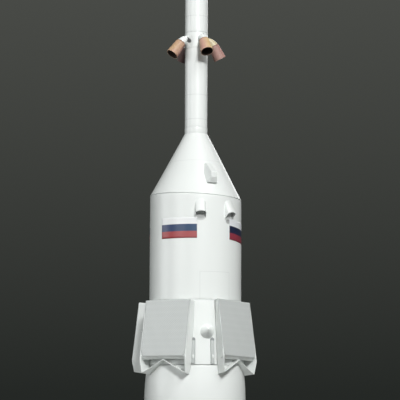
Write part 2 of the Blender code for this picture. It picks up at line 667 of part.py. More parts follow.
def make_boosters():
    """Four boosters, each a tail with its vane, a leaning body, a leaning nose and an engine."""
    tail_side = [(BOOSTER_RADIUS, TAIL_TOP), (BOOSTER_RADIUS, TAIL_FOOT)]
    tail = as_cutter("tail", moved(drum(tail_side, HULL_SEGMENTS), Matrix.Translation((BOOSTER_AXIS, 0, 0))))
    root = BOOSTER_AXIS + BOOSTER_RADIUS - VANE_SUNK
    vane = [(root, VANE_FOOT), (VANE_REACH, VANE_FOOT), (VANE_REACH, VANE_TIP_TOP)]
    vane += [(root + VANE_SHOULDER[0], VANE_SHOULDER[1]), (root, VANE_SHOULDER[1])]
    cut(tail, as_cutter("vane", slab(vane, VANE_THICKNESS, SIDE_VIEW)), "UNION")
    tail_mesh = mesh_of(tail)

    taper = (BOOSTER_RADIUS - BOOSTER_SHOULDER_RADIUS) / (BOOSTER_SHOULDER - TAIL_TOP)
    foot = TAIL_TOP + SEAM
    neck_radius = BOOSTER_RADIUS - taper * (BOOSTER_NECK - TAIL_TOP)
    body = drum([(neck_radius, BOOSTER_NECK), (BOOSTER_RADIUS, foot)], HULL_SEGMENTS)
    nose = [(radius, BOOSTER_TIP - below) for radius, below in BOOSTER_TIP_PROFILE]
    nose += [(BOOSTER_SHOULDER_RADIUS, BOOSTER_SHOULDER), (neck_radius, BOOSTER_NECK + SEAM)]
    nose = drum(nose, HULL_SEGMENTS)
    sheared = Matrix.Identity(4)
    sheared[0][2] = -BOOSTER_LEAN
    base = Matrix.Translation((BOOSTER_AXIS, 0, TAIL_TOP))
    leaning = base @ sheared @ Matrix.Translation((0, 0, -TAIL_TOP))
    for shape in (body, nose):
        shape.transform(leaning)
    engine = engine_mesh(BOOSTER_PLATE_RADIUS, TAIL_FOOT - SEAM, BOOSTER_STEERING)
    engine.transform(Matrix.Translation((BOOSTER_AXIS, 0, 0)))
    for number, azimuth in enumerate(BOOSTER_AZIMUTHS, 1):
        holder = spoke(f"booster_spoke_{number}", azimuth)
        place(f"booster_tail_{number}", tail_mesh, ORANGE_CARD, holder)
        place(f"booster_body_{number}", body, GREY_CARD, holder)
        place(f"booster_nose_{number}", nose, GREY_CARD, holder)
        place(f"booster_engine_{number}", engine, DARK_METAL, holder)


clear_scene()
parts = new_collection("space_rocket")
cutters = new_collection("cutters")
make_tower()
make_escape_nozzles()
make_fairing()
make_rails_and_buttons()
hull_shape = hull_cutter()
make_blisters(hull_shape)
make_grid_fins(hull_shape)
make_third_stage()
make_core()
make_boosters()
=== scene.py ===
"""The looks of a card display model of a crewed space rocket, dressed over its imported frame.

Metres, +Z up, the floor at height 0 and the rocket's axis on Z. An azimuth of 0 degrees points to -Y and
turns towards +X. Card skins take their radii and heights from the frame's nodes. Each new piece is a grid
of points worked out with numpy: its rows run down or along the piece and its columns run round or across.
"""

import functools
import logging
import math
from dataclasses import dataclass, replace
from enum import Enum

import bmesh
import bpy
import numpy as np
from mathutils import Matrix, Vector


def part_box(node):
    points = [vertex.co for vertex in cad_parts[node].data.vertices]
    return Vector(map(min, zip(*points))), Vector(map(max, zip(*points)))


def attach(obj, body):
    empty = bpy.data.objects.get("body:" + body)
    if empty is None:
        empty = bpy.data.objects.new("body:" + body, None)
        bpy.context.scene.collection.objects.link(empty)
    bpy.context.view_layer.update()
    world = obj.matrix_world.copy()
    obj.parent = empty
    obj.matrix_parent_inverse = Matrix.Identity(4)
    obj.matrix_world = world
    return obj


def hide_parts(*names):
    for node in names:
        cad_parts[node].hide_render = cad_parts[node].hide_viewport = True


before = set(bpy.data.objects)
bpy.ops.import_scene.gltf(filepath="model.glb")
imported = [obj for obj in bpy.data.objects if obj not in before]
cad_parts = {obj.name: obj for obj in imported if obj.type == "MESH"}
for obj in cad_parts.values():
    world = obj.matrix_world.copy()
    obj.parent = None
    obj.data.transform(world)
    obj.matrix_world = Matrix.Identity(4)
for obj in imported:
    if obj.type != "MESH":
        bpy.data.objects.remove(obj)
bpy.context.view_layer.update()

LOG = logging.getLogger("space_rocket")
BODY = "root"
MERGE = 0.000002  # corners nearer than this are one
HULL_COLUMNS = 192  # columns of points round the wide cards
TUBE_COLUMNS = 72  # and round the tower
LAP_FADE = 35.0  # degrees over which the outer edge of rolled card sinks back to the sheet under it
SUNK = 0.0004  # how far a glued piece reaches into what carries it
UP = (0.0, 0.0, 1.0)

Socket = bpy.types.NodeSocket
Pair = tuple[float, float]
Triple = tuple[float, float, float]
Reals = tuple[float, ...]
Colour = Triple


class Slot(Enum):
    """The record's material slots."""

    WHITE = "white_card"
    MESH = "grey_mesh_card"
    COPPER = "copper_card"
    GREY = "grey_card"
    ORANGE = "orange_card"
    ENGINE = "engine_card"


@dataclass(frozen=True)
class Grain:
    """Noise: the width of its grains in metres, its finer layers, and how long the grains are along each axis."""

    size: float
    detail: float = 2.0
    stretch: Triple = (1.0, 1.0, 1.0)


DRIFT = Grain(0.021)
FIBRE = Grain(0.00042, 3.0, (1.0, 1.0, 1.7))
WAVES = Grain(0.0085, 1.0, (1.0, 1.0, 2.6))
SCUFFS = Grain(0.0032, 4.0, (1.0, 1.0, 0.6))
BLOTCHES = Grain(0.004, 3.0)
UNEVEN_ROWS = Grain(0.009)
PANEL_STREAKS = Grain(0.0016, 2.0, (1.0, 1.0, 14.0))
LATCH_INK = Grain(0.0009, 3.0, (1.0, 1.0, 3.0))
FLAG_WEAR = Grain(0.0012, 3.0)
NOZZLE_STREAKS = Grain(0.0011, 3.0, (1.0, 1.0, 5.0))
NOZZLE_PATCHES = Grain(0.004, 1.0)
WEATHER = Grain(0.0035, 3.0, (1.0, 1.0, 9.0))
HEAT_PATCHES = Grain(0.005, 3.0)
SOOT_STREAKS = Grain(0.0009, 3.0, (1.0, 1.0, 4.0))


class Bench:
    """The shader nodes of one material, added and joined one at a time."""

    def __init__(self, name: str) -> None:
        """Starts a material whose only shader is a Principled BSDF."""
        self.material = bpy.data.materials.new(name)
        self.material.use_nodes = True
        self.tree = self.material.node_tree
        self.shader = self.tree.nodes["Principled BSDF"]
        self.where = self.tree.nodes.new("ShaderNodeTexCoord")
        split = self.add("ShaderNodeSeparateXYZ", {}, self.where.outputs["Object"])
        self.x, self.y, self.height = split.outputs

    def feed(self, socket: Socket, value: object) -> None:
        """Gives a socket a value: another socket, a number, or a colour of three parts.

        Args:
            socket: the input to fill.
            value: what it takes.
        """
        if isinstance(value, Socket):
            self.tree.links.new(value, socket)
        elif isinstance(value, tuple) and len(value) == 3 and socket.type == "RGBA":
            socket.default_value = (*value, 1.0)
        else:
            socket.default_value = value

    def add(self, kind: str, settings: dict[str, object], *inputs: object) -> bpy.types.Node:
        """Adds a node.

        Args:
            kind: the node's type.
            settings: attributes to set on it.
            inputs: values for its sockets, in order. None leaves one alone.

        Returns:
            The node.
        """
        node = self.tree.nodes.new(kind)
        for name, value in settings.items():
            setattr(node, name, value)
        for socket, value in zip(node.inputs, inputs):
            if value is not None:
                self.feed(socket, value)
        return node

    def maths(self, operation: str, *inputs: object) -> Socket:
        """The result of one Math node."""
        return self.add("ShaderNodeMath", {"operation": operation}, *inputs).outputs[0]

    def times(self, first: object, second: object) -> Socket:
        """The product of two values."""
        return self.maths("MULTIPLY", first, second)

    def blend(self, share: object, first: object, second: object, way: str = "MIX") -> Socket:
        """Mixes two colours.

        Args:
            share: how much of the second one, from 0 to 1.
            first: a colour or socket.
            second: a colour or socket.
            way: the blend type.

        Returns:
            The mixed colour.
        """
        node = self.add("ShaderNodeMix", {"data_type": "RGBA", "blend_type": way}, share)
        self.feed(node.inputs[6], first)
        self.feed(node.inputs[7], second)
        return node.outputs[2]

    def tinted(self, colour: object, ink: object, mask: object, strength: object) -> Socket:
        """A colour drawn towards an ink by a mask times a strength."""
        return self.blend(self.times(mask, strength), colour, ink)

    def without(self, mask: Socket) -> Socket:
        """1 less a mask."""
        return self.maths("SUBTRACT", 1.0, mask)

    def step(self, value: object, edge: float, soft: float) -> Socket:
        """Rises smoothly from 0 to 1 as the value passes the edge, over twice the soft width."""
        settings = {"interpolation_type": "SMOOTHSTEP"}
        return self.add("ShaderNodeMapRange", settings, value, edge - soft, edge + soft, 0.0, 1.0).outputs[0]

    def band(self, value: object, low: float, high: float, soft: float) -> Socket:
        """1 where the value lies between low and high, 0 elsewhere, with soft edges."""
        return self.maths("SUBTRACT", self.step(value, low, soft), self.step(value, high, soft))

    def stripes(self, value: object, pitch: float, width: float) -> Socket:
        """1 along stripes of the width that repeat at each pitch of the value, with soft edges."""
        wave = self.maths("PINGPONG", value, pitch / 2)
        return self.without(self.step(wave, width / 2, width / 5))

    def noise(self, grain: Grain) -> Socket:
        """Noise in the piece's own space, from 0 to 1."""
        scale = tuple(1.0 / (grain.size * part) for part in grain.stretch)
        mapping = self.add("ShaderNodeMapping", {}, self.where.outputs["Object"], None, None, scale)
        node = self.add("ShaderNodeTexNoise", {}, mapping.outputs[0])
        node.inputs["Scale"].default_value = 1.0
        node.inputs["Detail"].default_value = grain.detail
        return node.outputs["Fac"]

    @functools.cached_property
    def azimuth(self) -> Socket:
        """The azimuth about the rocket's axis, in degrees from -180 to 180."""
        turn = self.maths("ARCTAN2", self.x, self.times(self.y, -1.0))
        return self.times(turn, math.degrees(1.0))

    @functools.cached_property
    def across_down(self) -> tuple[Socket, Socket]:
        """The piece's own UV map: 0 to 1 across or round, and 0 to 1 down or along."""
        split = self.add("ShaderNodeSeparateXYZ", {}, self.where.outputs["UV"])
        return split.outputs[0], split.outputs[1]


@dataclass(frozen=True)
class Ring:
    """A thin printed or scored line round a card at one height."""

    height: float
    width: float = 0.00035
    strength: float = 0.25


@dataclass(frozen=True)
class Hatch:
    """A printed outline of a door between two azimuths and two heights, on card of a radius."""

    left: float
    right: float
    foot: float
    top: float
    width: float = 0.00035
    strength: float = 0.16
    radius: float = 0.028


@dataclass(frozen=True)
class Spot:
    """A small dark patch painted on card, most often painted shade: a slanted oval round an azimuth and a height, its
    rim soft about a share of its reach.
    """

    azimuth: float
    height: float
    half_turn: float
    half_height: float
    slant: float = 0.0
    strength: float = 0.9
    rim: float = 0.85
    soft: float = 0.25


@dataclass(frozen=True)
class Card:
    """Printed, varnished card: its colour drifts a little, it has a fine grain and the soft waves of rolling."""

    name: str
    colour: Colour
    roughness: float = 0.36
    drift: float = 0.018
    grain: float = 0.00001
    warp: float = 0.000045
    coat: float = 0.22
    metallic: float = 0.0
    scuffing: float = 0.16
    coat_roughness: float = 0.22

    def printed(self, bench: Bench) -> object:
        """The colour of the print, before grain and drift."""
        return self.colour

    def relief(self, bench: Bench) -> object:
        """How far the print's own lines stand proud, in metres."""
        return 0.0

    def material(self) -> bpy.types.Material:
        """Builds the card's material.

        Returns:
            A material whose tone, roughness and height follow noise of four sizes.
        """
        bench = Bench(self.name)
        drift = bench.noise(DRIFT)
        grain = bench.noise(FIBRE)
        warp = bench.noise(WAVES)
        scuff = bench.noise(SCUFFS)
        tone = bench.maths("MULTIPLY_ADD", drift, 2.0 * self.drift, 1.0 - 1.6 * self.drift)
        tone = bench.maths("MULTIPLY_ADD", grain, 0.6 * self.drift, tone)
        colour = bench.blend(1.0, self.printed(bench), tone, "MULTIPLY")
        bench.feed(bench.shader.inputs["Base Color"], colour)
        gloss = bench.maths("MULTIPLY_ADD", scuff, self.scuffing, self.roughness - self.scuffing / 2)
        bench.feed(bench.shader.inputs["Roughness"], gloss)
        height = bench.times(grain, self.grain)
        height = bench.maths("MULTIPLY_ADD", warp, self.warp, height)
        height = bench.maths("ADD", height, self.relief(bench))
        bump = bench.add("ShaderNodeBump", {})
        bench.feed(bump.inputs["Strength"], 1.0)
        bench.feed(bump.inputs["Distance"], 1.0)
        bench.feed(bump.inputs["Height"], height)
        bench.feed(bench.shader.inputs["Normal"], bump.outputs[0])
        bench.shader.inputs["Metallic"].default_value = self.metallic
        bench.shader.inputs["Coat Weight"].default_value = self.coat
        bench.shader.inputs["Coat Roughness"].default_value = self.coat_roughness
        return bench.material


@dataclass(frozen=True)
class WhiteCard(Card):
    """Gloss white card with printed rings and door outlines, glue grime beside its seams, and dark patches that are
    mostly painted shade.
    """

    rings: tuple[Ring, ...] = ()
    hatches: tuple[Hatch, ...] = ()
    seams: Reals = ()
    spots: tuple[Spot, ...] = ()
    ink: Colour = (0.3, 0.32, 0.32)
    black: Colour = (0.02, 0.02, 0.02)
    grime: float = 0.16
    grime_reach: float = 0.0007
    grime_soft: float = 0.0006

    def lines(self, bench: Bench) -> list[tuple[Socket, float]]:
        """The masks of the printed lines, each with its strength."""
        found = []
        for ring in self.rings:
            low, high = ring.height - ring.width / 2, ring.height + ring.width / 2
            found.append((bench.band(bench.height, low, high, ring.width / 4), ring.strength))
        for hatch in self.hatches:
            half = hatch.width / 2
            turn = math.degrees(hatch.width / hatch.radius) / 2
            tall = bench.band(bench.height, hatch.foot - half, hatch.top + half, half / 2)
            wide = bench.band(bench.azimuth, hatch.left - turn, hatch.right + turn, turn / 2)
            inner_tall = bench.band(bench.height, hatch.foot + half, hatch.top - half, half / 2)
            inner_wide = bench.band(bench.azimuth, hatch.left + turn, hatch.right - turn, turn / 2)
            outline = bench.maths("SUBTRACT", bench.times(tall, wide), bench.times(inner_tall, inner_wide))
            found.append((outline, hatch.strength))
        return found

    def printed(self, bench: Bench) -> object:
        """White, greyed beside seams and under each printed line, and blackened under each spot, most of which are
        painted shade.
        """
        colour: object = self.colour
        blotch = bench.noise(BLOTCHES)
        for seam in self.seams:
            near = bench.band(bench.height, seam - self.grime_reach, seam + self.grime_reach, self.grime_soft)
            share = bench.times(near, bench.times(blotch, self.grime))
            colour = bench.blend(share, colour, self.ink)
        for mask, strength in self.lines(bench):
            colour = bench.tinted(colour, self.ink, mask, strength)
        # Dark patches, most of them painted shade and painted shadows.
        for spot in self.spots:
            rise = bench.maths("DIVIDE", bench.maths("SUBTRACT", bench.height, spot.height), spot.half_height)
            turn = bench.maths("DIVIDE", bench.maths("SUBTRACT", bench.azimuth, spot.azimuth), spot.half_turn)
            turn = bench.maths("MULTIPLY_ADD", rise, -spot.slant, turn)
            away = bench.maths("POWER", bench.maths("ADD", bench.times(rise, rise), bench.times(turn, turn)), 0.5)
            mask = bench.without(bench.step(away, spot.rim, spot.soft))
            colour = bench.tinted(colour, self.black, mask, spot.strength)
        return colour


@dataclass(frozen=True)
class LatticeCard(Card):
    """Grey card printed with the fine crossed lattice of a grid fin."""

    width: float = 0.0324
    length: float = 0.0348
    pitch: float = 0.00125
    cell: Colour = (0.53, 0.56, 0.55)
    rows: int = 9
    row_strength: float = 0.13
    row_colour: Colour = (0.72, 0.75, 0.74)
    streak: float = 0.1
    streak_colour: Colour = (0.44, 0.47, 0.46)
    edge: float = 0.03
    edge_strength: float = 0.28
    edge_colour: Colour = (0.36, 0.39, 0.38)
    bar: float = 0.42
    proud: float = 0.00003

    def mesh(self, bench: Bench) -> Socket:
        """1 on the lattice's bars, which cross at 45 degrees a pitch apart."""
        across, down = bench.across_down
        over = bench.times(across, self.width / self.pitch)
        under = bench.times(down, self.length / self.pitch)
        rising = bench.stripes(bench.maths("ADD", over, under), 1.0, self.bar)
        falling = bench.stripes(bench.maths("SUBTRACT", over, under), 1.0, self.bar)
        return bench.maths("MAXIMUM", rising, falling)

    def printed(self, bench: Bench) -> object:
        """Bars in the light colour on darker cells, with faint level bands, upright streaks and dark side lines."""
        across, down = bench.across_down
        colour = bench.blend(self.mesh(bench), self.cell, self.colour)
        level = bench.stripes(down, 1.0 / self.rows, 0.4 / self.rows)
        level = bench.times(level, bench.times(bench.noise(UNEVEN_ROWS), 2.0))
        colour = bench.tinted(colour, self.row_colour, level, self.row_strength)
        streak = bench.noise(PANEL_STREAKS)
        colour = bench.tinted(colour, self.streak_colour, streak, self.streak)
        inner = bench.band(across, self.edge, 1.0 - self.edge, self.edge / 3)
        side = bench.times(bench.without(inner), self.edge_strength)
        return bench.blend(side, colour, self.edge_colour)

    def relief(self, bench: Bench) -> object:
        """The bars stand a few hundredths of a millimetre proud."""
        return bench.times(self.mesh(bench), self.proud)


@dataclass(frozen=True)
class LatchCard(Card):
    """Grey print of a latch: a darker outline, and a dark cap from a height up to its round top."""

    dark_from: float = 0.7674
    dark: Colour = (0.26, 0.28, 0.28)
    outline: Colour = (0.34, 0.37, 0.36)
    worn: Colour = (0.62, 0.65, 0.64)
    flat_from: float = 0.42

    def printed(self, bench: Bench) -> object:
        """Pale grey with uneven ink on its top, darker down its sides and at its cap."""
        _, inward = bench.across_down
        ink = bench.noise(LATCH_INK)
        colour = bench.tinted(self.colour, self.worn, ink, 0.5)
        colour = bench.blend(bench.step(inward, self.flat_from, 0.12), self.outline, colour)
        return bench.blend(bench.step(bench.height, self.dark_from, 0.0003), colour, self.dark)


@dataclass(frozen=True)
class FlagCard(Card):
    """Three level stripes, white over blue over red, with a hairline round them.

    Fields:
        worn_blue, worn_red: the stripes where the ink is thin.
        pale_blue, pale_red, faded: the stripes at their palest, and how far they turn pale at the right end.
    """

    blue: Colour = (0.018, 0.032, 0.12)
    red: Colour = (0.34, 0.03, 0.035)
    line: Colour = (0.55, 0.56, 0.57)
    worn_blue: Colour = (0.05, 0.08, 0.2)
    worn_red: Colour = (0.46, 0.07, 0.06)
    pale_blue: Colour = (0.06, 0.105, 0.18)
    pale_red: Colour = (0.42, 0.12, 0.125)
    pale_right: float = 0.0
    wear: float = 0.3
    hairline: float = 0.35

    def printed(self, bench: Bench) -> object:
        """A third of the height to each colour, the ink a little uneven and paler towards the right."""
        across, down = bench.across_down
        wear = bench.noise(FLAG_WEAR)
        # The stripes turn paler towards the flag's right end.
        fade = bench.times(across, self.pale_right)
        blue = bench.tinted(self.blue, self.worn_blue, wear, self.wear)
        blue = bench.blend(fade, blue, self.pale_blue)
        red = bench.tinted(self.red, self.worn_red, wear, self.wear)
        red = bench.blend(fade, red, self.pale_red)
        colour = bench.blend(bench.step(down, 1 / 3, 0.004), self.colour, blue)
        colour = bench.blend(bench.step(down, 2 / 3, 0.004), colour, red)
        inside = bench.times(bench.band(across, 0.008, 0.992, 0.003), bench.band(down, 0.014, 0.986, 0.005))
        rim = bench.times(bench.without(inside), self.hairline)
        return bench.blend(rim, colour, self.line)


@dataclass(frozen=True)
class CopperCard(Card):
    """Copper print: streaks run along each nozzle, and its tint turns from rose to straw and brown round it.

    gold, blush, shade: how strong the straw, the rose and the brown band are. The brown band lies on the nozzle's inner
    side and is soot together with painted shade.
        gold, blush, shade: how strong the straw, the rose and the brown are.
        straw_zone, rose_zone: from where to where round the nozzle they lie, and how softly they end.
    """

    straw: Colour = (0.7, 0.53, 0.24)
    rose: Colour = (0.56, 0.29, 0.26)
    brown: Colour = (0.12, 0.04, 0.03)
    gold: float = 0.85
    blush: float = 0.6
    shade: float = 0.35
    straw_zone: Triple = (0.17, 0.38, 0.11)
    rose_zone: Triple = (-0.2, 0.08, 0.1)
    shade_from: float = 0.54
    shade_to: float = 0.8
    streak: float = 0.22
    patch: float = 0.3
    rim: float = 0.5

    def printed(self, bench: Bench) -> object:
        """Copper that drifts to straw, to rose and to dark brown in soft streaks along the nozzle, with a brown band of
        soot and painted shade on its inner side.
        """
        across, down = bench.across_down
        streak = bench.noise(NOZZLE_STREAKS)
        patch = bench.noise(NOZZLE_PATCHES)
        straw = bench.band(across, *self.straw_zone)
        rose = bench.band(across, *self.rose_zone)
        # The brown band on the nozzle's inner side: soot together with painted shade.
        dark = bench.band(across, self.shade_from, self.shade_to, 0.05)
        colour = bench.tinted(self.colour, self.straw, straw, self.gold)
        colour = bench.tinted(colour, self.rose, rose, self.blush)
        colour = bench.tinted(colour, self.brown, dark, self.shade)
        colour = bench.tinted(colour, self.rose, bench.step(patch, 0.55, 0.14), self.patch)
        colour = bench.tinted(colour, self.brown, streak, self.streak)
        edge = bench.without(bench.step(down, 0.3, 0.03))
        return bench.tinted(colour, self.brown, edge, self.rim)


@dataclass(frozen=True)
class StageCard(Card):
    """Painted stage card: hoops and stringers are printed lines that also stand slightly proud."""

    hoop_pitch: float = 0.0186
    hoop_width: float = 0.0005
    stringers: int = 24
    stringer_share: float = 0.035
    stringer_foot: float = -1.0
    stringer_top: float = 2.0
    line: Colour = (0.17, 0.19, 0.17)
    bands: tuple[Pair, ...] = ()
    band_colour: Colour = (0.74, 0.77, 0.75)
    line_strength: float = 0.42
    dulled: float = 0.8
    proud: float = 0.0001

    def frames(self, bench: Bench) -> Socket:
        """1 on hoops at each pitch of height, and on stringers spaced evenly round the card."""
        across, _ = bench.across_down
        hoops = bench.stripes(bench.height, self.hoop_pitch, self.hoop_width)
        upright = bench.stripes(bench.times(across, self.stringers), 1.0, self.stringer_share)
        zone = bench.band(bench.height, self.stringer_foot, self.stringer_top, 0.0003)
        return bench.maths("MAXIMUM", hoops, bench.times(upright, zone))

    def printed(self, bench: Bench) -> object:
        """The paint, its pale bands, streaks of weather down it, and the frames' lines."""
        streak = bench.noise(WEATHER)
        dull = tuple(self.dulled * part for part in self.colour)
        colour = bench.tinted(self.colour, dull, streak, 0.5)
        for low, high in self.bands:
            colour = bench.blend(bench.band(bench.height, low, high, 0.0002), colour, self.band_colour)
        return bench.tinted(colour, self.line, self.frames(bench), self.line_strength)

    def relief(self, bench: Bench) -> object:
        """The frames stand proud by a tenth of a millimetre."""
        return bench.times(self.frames(bench), self.proud)


@dataclass(frozen=True)
class EngineCard(Card):
    """Dark metallic card: heat tints change along a bell, with fine rings turned into it."""

    warm: Colour = (0.34, 0.22, 0.13)
    blue: Colour = (0.16, 0.18, 0.24)
    heat_height: float = 0.016
    heat_soft: float = 0.012
    ring_pitch: float = 0.0009
    ring_width: float = 0.0003
    ring_proud: float = 0.00004

    def printed(self, bench: Bench) -> object:
        """Steel that goes from bluish above to straw brown towards the rim."""
        patch = bench.noise(HEAT_PATCHES)
        turn = bench.step(bench.maths("MULTIPLY_ADD", patch, 0.01, bench.height), self.heat_height, self.heat_soft)
        colour = bench.blend(turn, self.warm, self.blue)
        return bench.tinted(colour, self.colour, patch, 0.45)

    def relief(self, bench: Bench) -> object:
        """Fine rings at each pitch of height."""
        return bench.times(bench.stripes(bench.height, self.ring_pitch, self.ring_width), self.ring_proud)


@dataclass(frozen=True)
class SootCard(Card):
    """The dark inside of a nozzle, with streaks of soot."""

    thin: Colour = (0.055, 0.036, 0.026)

    def printed(self, bench: Bench) -> object:
        """Near black, browner where the soot is thin."""
        streak = bench.noise(SOOT_STREAKS)
        return bench.blend(streak, self.colour, self.thin)


@functools.cache
def material_of(finish: Card) -> bpy.types.Material:
    """The one material of a finish, built the first time that it is asked for."""
    return finish.material()


WHITE = (0.83, 0.862, 0.842)
PLAIN_WHITE = WhiteCard("white gloss card", WHITE)
# Painted shade: grey card for the dish of each hood's mouth, standing for the shade inside the mouth.
HOOD_MOUTH_PAINTED_SHADE = Card("hood mouth painted shade", (0.36, 0.38, 0.37), roughness=0.6, coat=0.05)
GOLD_COPPER = CopperCard("gold copper card", (0.64, 0.44, 0.31), roughness=0.55, coat=0.1)
ROSE_COPPER = CopperCard("rose copper card", (0.42, 0.26, 0.22), roughness=0.55, coat=0.1, gold=0.1)
# Painted shade: a near-black copy of the copper card for the nozzle behind the tower, which sits in shade; a pinkish
# strip runs down one side of it.
PAINTED_SHADE_COPPER = CopperCard("copper card painted in shade", (0.1, 0.045, 0.04), roughness=0.6, coat=0.0, gold=0.95, shade=0.97,
                         straw=(0.5, 0.31, 0.29), rose=(0.1, 0.045, 0.04), brown=(0.03, 0.009, 0.008))
TAN_COPPER = CopperCard("tan copper card", (0.52, 0.335, 0.225), roughness=0.55, coat=0.1, gold=0.3, shade=0.92)
COPPER_EDGE = Card("copper cut edge", (0.36, 0.24, 0.17), roughness=0.7, coat=0.0)
STRAW_CARD = Card("straw elbow card", (0.6, 0.52, 0.34))
SOOT = SootCard("soot", (0.03, 0.016, 0.01), roughness=0.75, coat=0.0)
LATTICE = LatticeCard("lattice card", (0.655, 0.685, 0.67), roughness=0.42, coat=0.12)
FLAG = FlagCard("flag print", (0.86, 0.875, 0.875), blue=(0.009, 0.02, 0.1), pale_right=1.0)
# Painted shade: a darker copy of the flag print, for the sloping flag, which lies in shade.
PAINTED_SHADE_FLAG = FlagCard("flag print painted in shade", (0.8, 0.82, 0.85), blue=(0.009, 0.011, 0.032), red=(0.24, 0.032, 0.06))
LATCH_GREY = LatchCard("latch grey", (0.54, 0.57, 0.56), roughness=0.45)
GREEN = (0.33, 0.375, 0.33)
STEEL = EngineCard("engine metal", (0.2, 0.195, 0.19), roughness=0.34, metallic=0.75, coat=0.0)
PALE_STEEL = Card("bell rim", (0.45, 0.42, 0.38), roughness=0.4, metallic=0.6, coat=0.0)
PLATE_CARD = Card("thrust plate card", (0.16, 0.155, 0.15), roughness=0.5, coat=0.1)
DOME_CARD = Card("dome card", (0.3, 0.33, 0.31), roughness=0.4)
TRUSS_GREY = Card("truss grey", (0.24, 0.27, 0.25), roughness=0.45, coat=0.1)
ORANGE = (0.7, 0.205, 0.045)


@dataclass
class Shell:
    """One surface of a piece.

    Fields:
        points: the corners, one row of three numbers each.
        faces: the corners' numbers round each face.
        places: each corner's place for patterns, 0 to 1 across and 0 to 1 down.
        finish: which of the piece's finishes the surface wears.
    """

    points: np.ndarray
    faces: list[list[int]]
    places: np.ndarray
    finish: int = 0

    def moved_to(self, points: np.ndarray) -> "Shell":
        """The shell with its corners at other points."""
        return Shell(points, self.faces, self.places, self.finish)

    def turned_to(self, azimuth: float) -> "Shell":
        """The shell turned about Z so that its +X points along an azimuth."""
        return self.moved_to(turned_to(self.points, azimuth))

    def shifted(self, offset: np.ndarray) -> "Shell":
        """The shell moved by an offset."""
        return self.moved_to(self.points + np.asarray(offset))


def turned_to(points: np.ndarray, azimuth: float) -> np.ndarray:
    """Turns points about Z so that their +X points along an azimuth."""
    angle = math.radians(azimuth - 90.0)
    cosine, sine = math.cos(angle), math.sin(angle)
    return points @ np.array([[cosine, sine, 0.0], [-sine, cosine, 0.0], [0.0, 0.0, 1.0]])


def lengths_along(line: np.ndarray) -> np.ndarray:
    """The distance of each point of a line from its first one, measured along it."""
    return np.concatenate([[0.0], np.cumsum(np.linalg.norm(np.diff(line, axis=0), axis=1))])


def dense(line: np.ndarray, step: float) -> np.ndarray:
    """Adds points to a line so that none are further apart than a step.

    Args:
        line: points, one to a row.
        step: the widest spacing, in metres.

    Returns:
        The line's own points with evenly spaced ones between them.
    """
    lengths = lengths_along(line)
    stations = np.union1d(lengths, np.arange(0.0, lengths[-1], step))
    return np.stack([np.interp(stations, lengths, part) for part in line.T], axis=1)


def eased(line: np.ndarray, ease: float, steps: int = 4) -> np.ndarray:
    """Rounds each inner corner of a line.

    Near a corner the line follows (1-t)^2 A + 2t(1-t) C + t^2 B, where C is the corner and A and B lie
    the ease before and after it, or nearly half of the way to the next corner if that is less.

    Args:
        line: points, one to a row.
        ease: how far from a corner the rounding starts.
        steps: how many short lines make one rounded corner.

    Returns:
        The rounded line.
    """
    line = np.asarray(line, float)
    corner = line[1:-1]
    back, ahead = line[:-2] - corner, line[2:] - corner
    back_length = np.linalg.norm(back, axis=1, keepdims=True)
    ahead_length = np.linalg.norm(ahead, axis=1, keepdims=True)
    start = corner + back / back_length * np.minimum(ease, 0.49 * back_length)
    end = corner + ahead / ahead_length * np.minimum(ease, 0.49 * ahead_length)
    share = np.linspace(0.0, 1.0, steps + 1)[None, :, None]
    curve = (1 - share) ** 2 * start[:, None] + 2 * share * (1 - share) * corner[:, None] + share**2 * end[:, None]
    return np.concatenate([line[:1], curve.reshape(-1, line.shape[1]), line[-1:]])


def grid_of(*parts: np.ndarray) -> np.ndarray:
    """A grid of points whose X, Y and Z are arrays that fit each other."""
    return np.stack(np.broadcast_arrays(*parts), axis=-1)


def grid_shell(points: np.ndarray, finish: int = 0, flip: bool = False, down: np.ndarray | None = None) -> Shell:
    """A shell over a grid of points.

    Args:
        points: rows, columns, and three numbers for each.
        finish: which finish it wears.
        flip: turns the faces over. Unturned, they point along (down the rows) cross (along the columns).
        down: how far down the piece each row lies, 0 to 1. Left out, the rows are evenly spaced.

    Returns:
        The shell, its places running across the columns and down the rows.
    """
    rows, columns = points.shape[:2]
    index = np.arange(rows * columns).reshape(rows, columns)
    corners = [index[:-1, :-1], index[1:, :-1], index[1:, 1:], index[:-1, 1:]]
    faces = np.stack([part.ravel() for part in corners], axis=1)
    if flip:
        faces = faces[:, ::-1]
    steps = np.linspace(0.0, 1.0, rows) if down is None else down
    across, along = np.meshgrid(np.linspace(0.0, 1.0, columns), steps)
    places = np.stack([across, along], axis=-1).reshape(-1, 2)
    return Shell(points.reshape(-1, 3), faces.tolist(), places, finish)


def prism(outline: np.ndarray, offset: np.ndarray, finish: int = 0) -> Shell:
    """A flat outline carried along an offset and closed at both ends.

    Args:
        outline: points round one end.
        offset: the way to the other end.
        finish: which finish it wears.

    Returns:
        A closed shell.
    """
    outline = np.asarray(outline, float)
    count = len(outline)
    points = np.concatenate([outline, outline + np.asarray(offset)])
    near = np.arange(count)
    after = np.roll(near, -1)
    sides = np.stack([near, after, after + count, near + count], axis=1).tolist()
    spans = np.ptp(points, axis=0)
    wide, tall = sorted(np.argsort(spans)[1:])
    places = (points[:, [wide, tall]] - points.min(axis=0)[[wide, tall]]) / spans[[wide, tall]]
    return Shell(points, [near[::-1].tolist(), (near + count).tolist(), *sides], places, finish)


@dataclass(frozen=True)
class Rolling:
    """How a card was rolled: columns round it, the step of its lap, its waves, and the azimuth of its seam."""

    columns: int = HULL_COLUMNS
    lap: float = 0.0
    wave: float = 0.0
    seam: float = 152.0


HULL_ROLL = Rolling(lap=0.00018, wave=0.00003)
TUBE_ROLL = Rolling(TUBE_COLUMNS, lap=0.00012, wave=0.00001, seam=190.0)
PLAIN_TUBE = Rolling(TUBE_COLUMNS)


